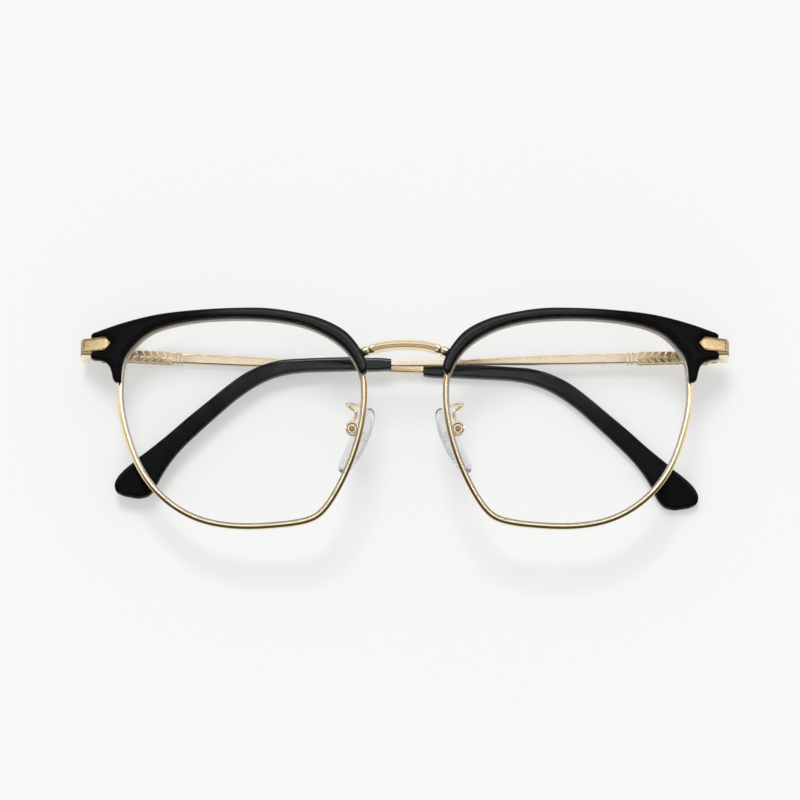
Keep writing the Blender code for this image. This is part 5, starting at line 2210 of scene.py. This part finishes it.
@dataclass
class Studio:
    """Pale table, soft light and the camera."""

    table_level: float = 0.935
    table_radius: float = 8.0
    table_gap: float = 0.00002
    table_cloud: float = 9.0
    table_roughness: float = 0.9
    pale_tint: Colour = (1.0, 1.003, 1.0)
    dim_tint: Colour = (0.992, 0.994, 0.993)
    glow_tint: Colour = (1.005, 1.01, 1.005)
    lift: float = 0.4
    ambient: float = 0.66
    key_strength: float = 1.26
    key_angle: float = 24.0
    key_height: float = 60.0
    key_aside: float = -0.12
    dark: float = 0.07
    dusk: float = 0.34
    overhead: float = 0.98
    strip: float = 6.5
    horizon: Flat = (0.14, 0.23)
    front_span: Flat = (-0.2, 0.5)
    chin_span: Flat = (0.78, 0.96)
    brow_span: Flat = (0.72, 0.93)
    strip_start: Flat = (0.59, 0.63)
    strip_end: Flat = (0.68, 0.72)
    strip_front: Flat = (0.84, 1.0)
    view_angle: float = 17.0
    distance: float = 600.0
    focal_pixels: float = 2706.0
    frame_pixels: float = 800.0
    pixels_left: float = 5.0
    pixels_up: float = 22.6
    aim_depth: float = -2.0
    sensor: float = 36.0

    def build_table(self) -> None:
        """Lays the table plane under the object."""
        mesh = bpy.data.meshes.new("table")
        ring = [Vector((x, y, -self.table_gap)) for x, y in circle(self.table_radius, 64)]
        mesh.from_pydata(ring, [], [tuple(range(len(ring)))])
        table = bpy.data.objects.new("table", mesh)
        bpy.context.scene.collection.objects.link(table)
        material = bpy.data.materials.new("table_pale")
        material.use_nodes = True
        made = Nodes(material.node_tree)
        cloud = made.noise(made.node("TexCoord").outputs["Object"], self.table_cloud, 3.0)
        tints = (self.pale_tint, self.dim_tint, self.glow_tint)
        pale, dim, lit = (rgba(self.table_level * c for c in tint) for tint in tints)
        shader = made.put(
            material.node_tree.nodes["Principled BSDF"], Base_Color=made.mix(cloud, pale, dim),
            Roughness=self.table_roughness, Specular_IOR_Level=0.0,
        )
        glow = made.put(made.node("Emission"), Color=lit)
        share = made.times(made.seen_rays(), self.lift)
        made.blend(share, shader.outputs[0], glow.outputs[0])
        mesh.materials.append(material)

    def build_key(self) -> None:
        """Sets the soft key from the brow side."""
        key = bpy.data.lights.new("key", "SUN")
        key.energy = self.key_strength
        key.angle = math.radians(self.key_angle)
        lamp = bpy.data.objects.new("key", key)
        height = math.radians(self.key_height)
        towards = Vector((self.key_aside, math.cos(height), math.sin(height)))
        lamp.rotation_mode = "QUATERNION"
        lamp.rotation_quaternion = towards.to_track_quat("Z", "Y")
        lamp.visible_glossy = False
        lamp.visible_transmission = False
        bpy.context.scene.collection.objects.link(lamp)

    def build_surroundings(self) -> None:
        """Sets an even light, and what metal and glass reflect of the room."""
        world = bpy.data.worlds.new("surroundings")
        world.use_nodes = True
        bpy.context.scene.world = world
        made = Nodes(world.node_tree)
        _, ahead, rise = made.parts(made.node("TexCoord").outputs["Generated"])
        flat = made.math("SQRT", made.math("SUBTRACT", 1.0001, made.times(rise, rise)))
        front = made.span(made.math("DIVIDE", ahead, flat), *self.front_span, 0.0, 1.0)
        chin_side = made.span(rise, *self.chin_span, self.dark, self.overhead)
        brow_side = made.span(rise, *self.brow_span, self.dusk, self.overhead)
        strip = made.span(rise, *self.strip_start, 0.0, self.strip)
        strip = made.times(strip, made.span(rise, *self.strip_end, 1.0, 0.0))
        strip = made.times(strip, made.span(front, *self.strip_front, 0.0, 1.0))
        sky = made.times(made.math("SUBTRACT", 1.0, front), chin_side)
        sky = made.math("ADD", sky, made.times(front, brow_side))
        sky = made.math("ADD", sky, strip)
        above = made.span(rise, *self.horizon, 0.0, 1.0)
        level = made.times(above, made.math("SUBTRACT", sky, self.table_level))
        level = made.math("ADD", level, self.table_level)
        shown = made.row(made.node("CombineXYZ"), level, level, level)
        colour = made.mix(made.seen_rays(), rgba((self.ambient,) * 3), shown)
        made.put(world.node_tree.nodes["Background"], Color=colour, Strength=1.0)

    def build_camera(self) -> None:
        """Sets the camera over the chin side, as the photograph was taken."""
        turn = math.radians(self.view_angle)
        ahead = Vector((0.0, math.sin(turn), -math.cos(turn)))
        up = Vector((0.0, math.cos(turn), math.sin(turn)))
        right = Vector((1.0, 0.0, 0.0))
        per_pixel = self.distance / self.focal_pixels
        spot = Vector((0.0, 0.0, self.aim_depth)) - ahead * self.distance
        spot = spot - right * (self.pixels_left * per_pixel) + up * (self.pixels_up * per_pixel)
        data = bpy.data.cameras.new("camera")
        data.sensor_width = self.sensor
        data.lens = self.focal_pixels / self.frame_pixels * self.sensor
        camera = bpy.data.objects.new("camera", data)
        own = Matrix([(*part, spot[row] * MM) for row, part in enumerate(zip(right, up, -ahead))])
        camera.matrix_world = STANCE.front() @ own.to_4x4()
        bpy.context.scene.collection.objects.link(camera)
        bpy.context.scene.camera = camera

    def build(self) -> None:
        """Builds the whole setting."""
        self.build_table()
        self.build_key()
        self.build_surroundings()
        self.build_camera()
        bpy.context.scene.view_settings.view_transform = "Standard"


def main() -> None:
    """Builds every piece in order."""
    logging.basicConfig(level=logging.INFO, format="%(message)s")
    bench = Bench()
    Studio().build()
    for side in Side:
        for kind in (Rim, Lens, BrowBar, EndPiece, Hinge, NosePad, Temple):
            kind(bench, side).build()
    Bridge(bench).build()


if __name__ == "__main__":
    main()
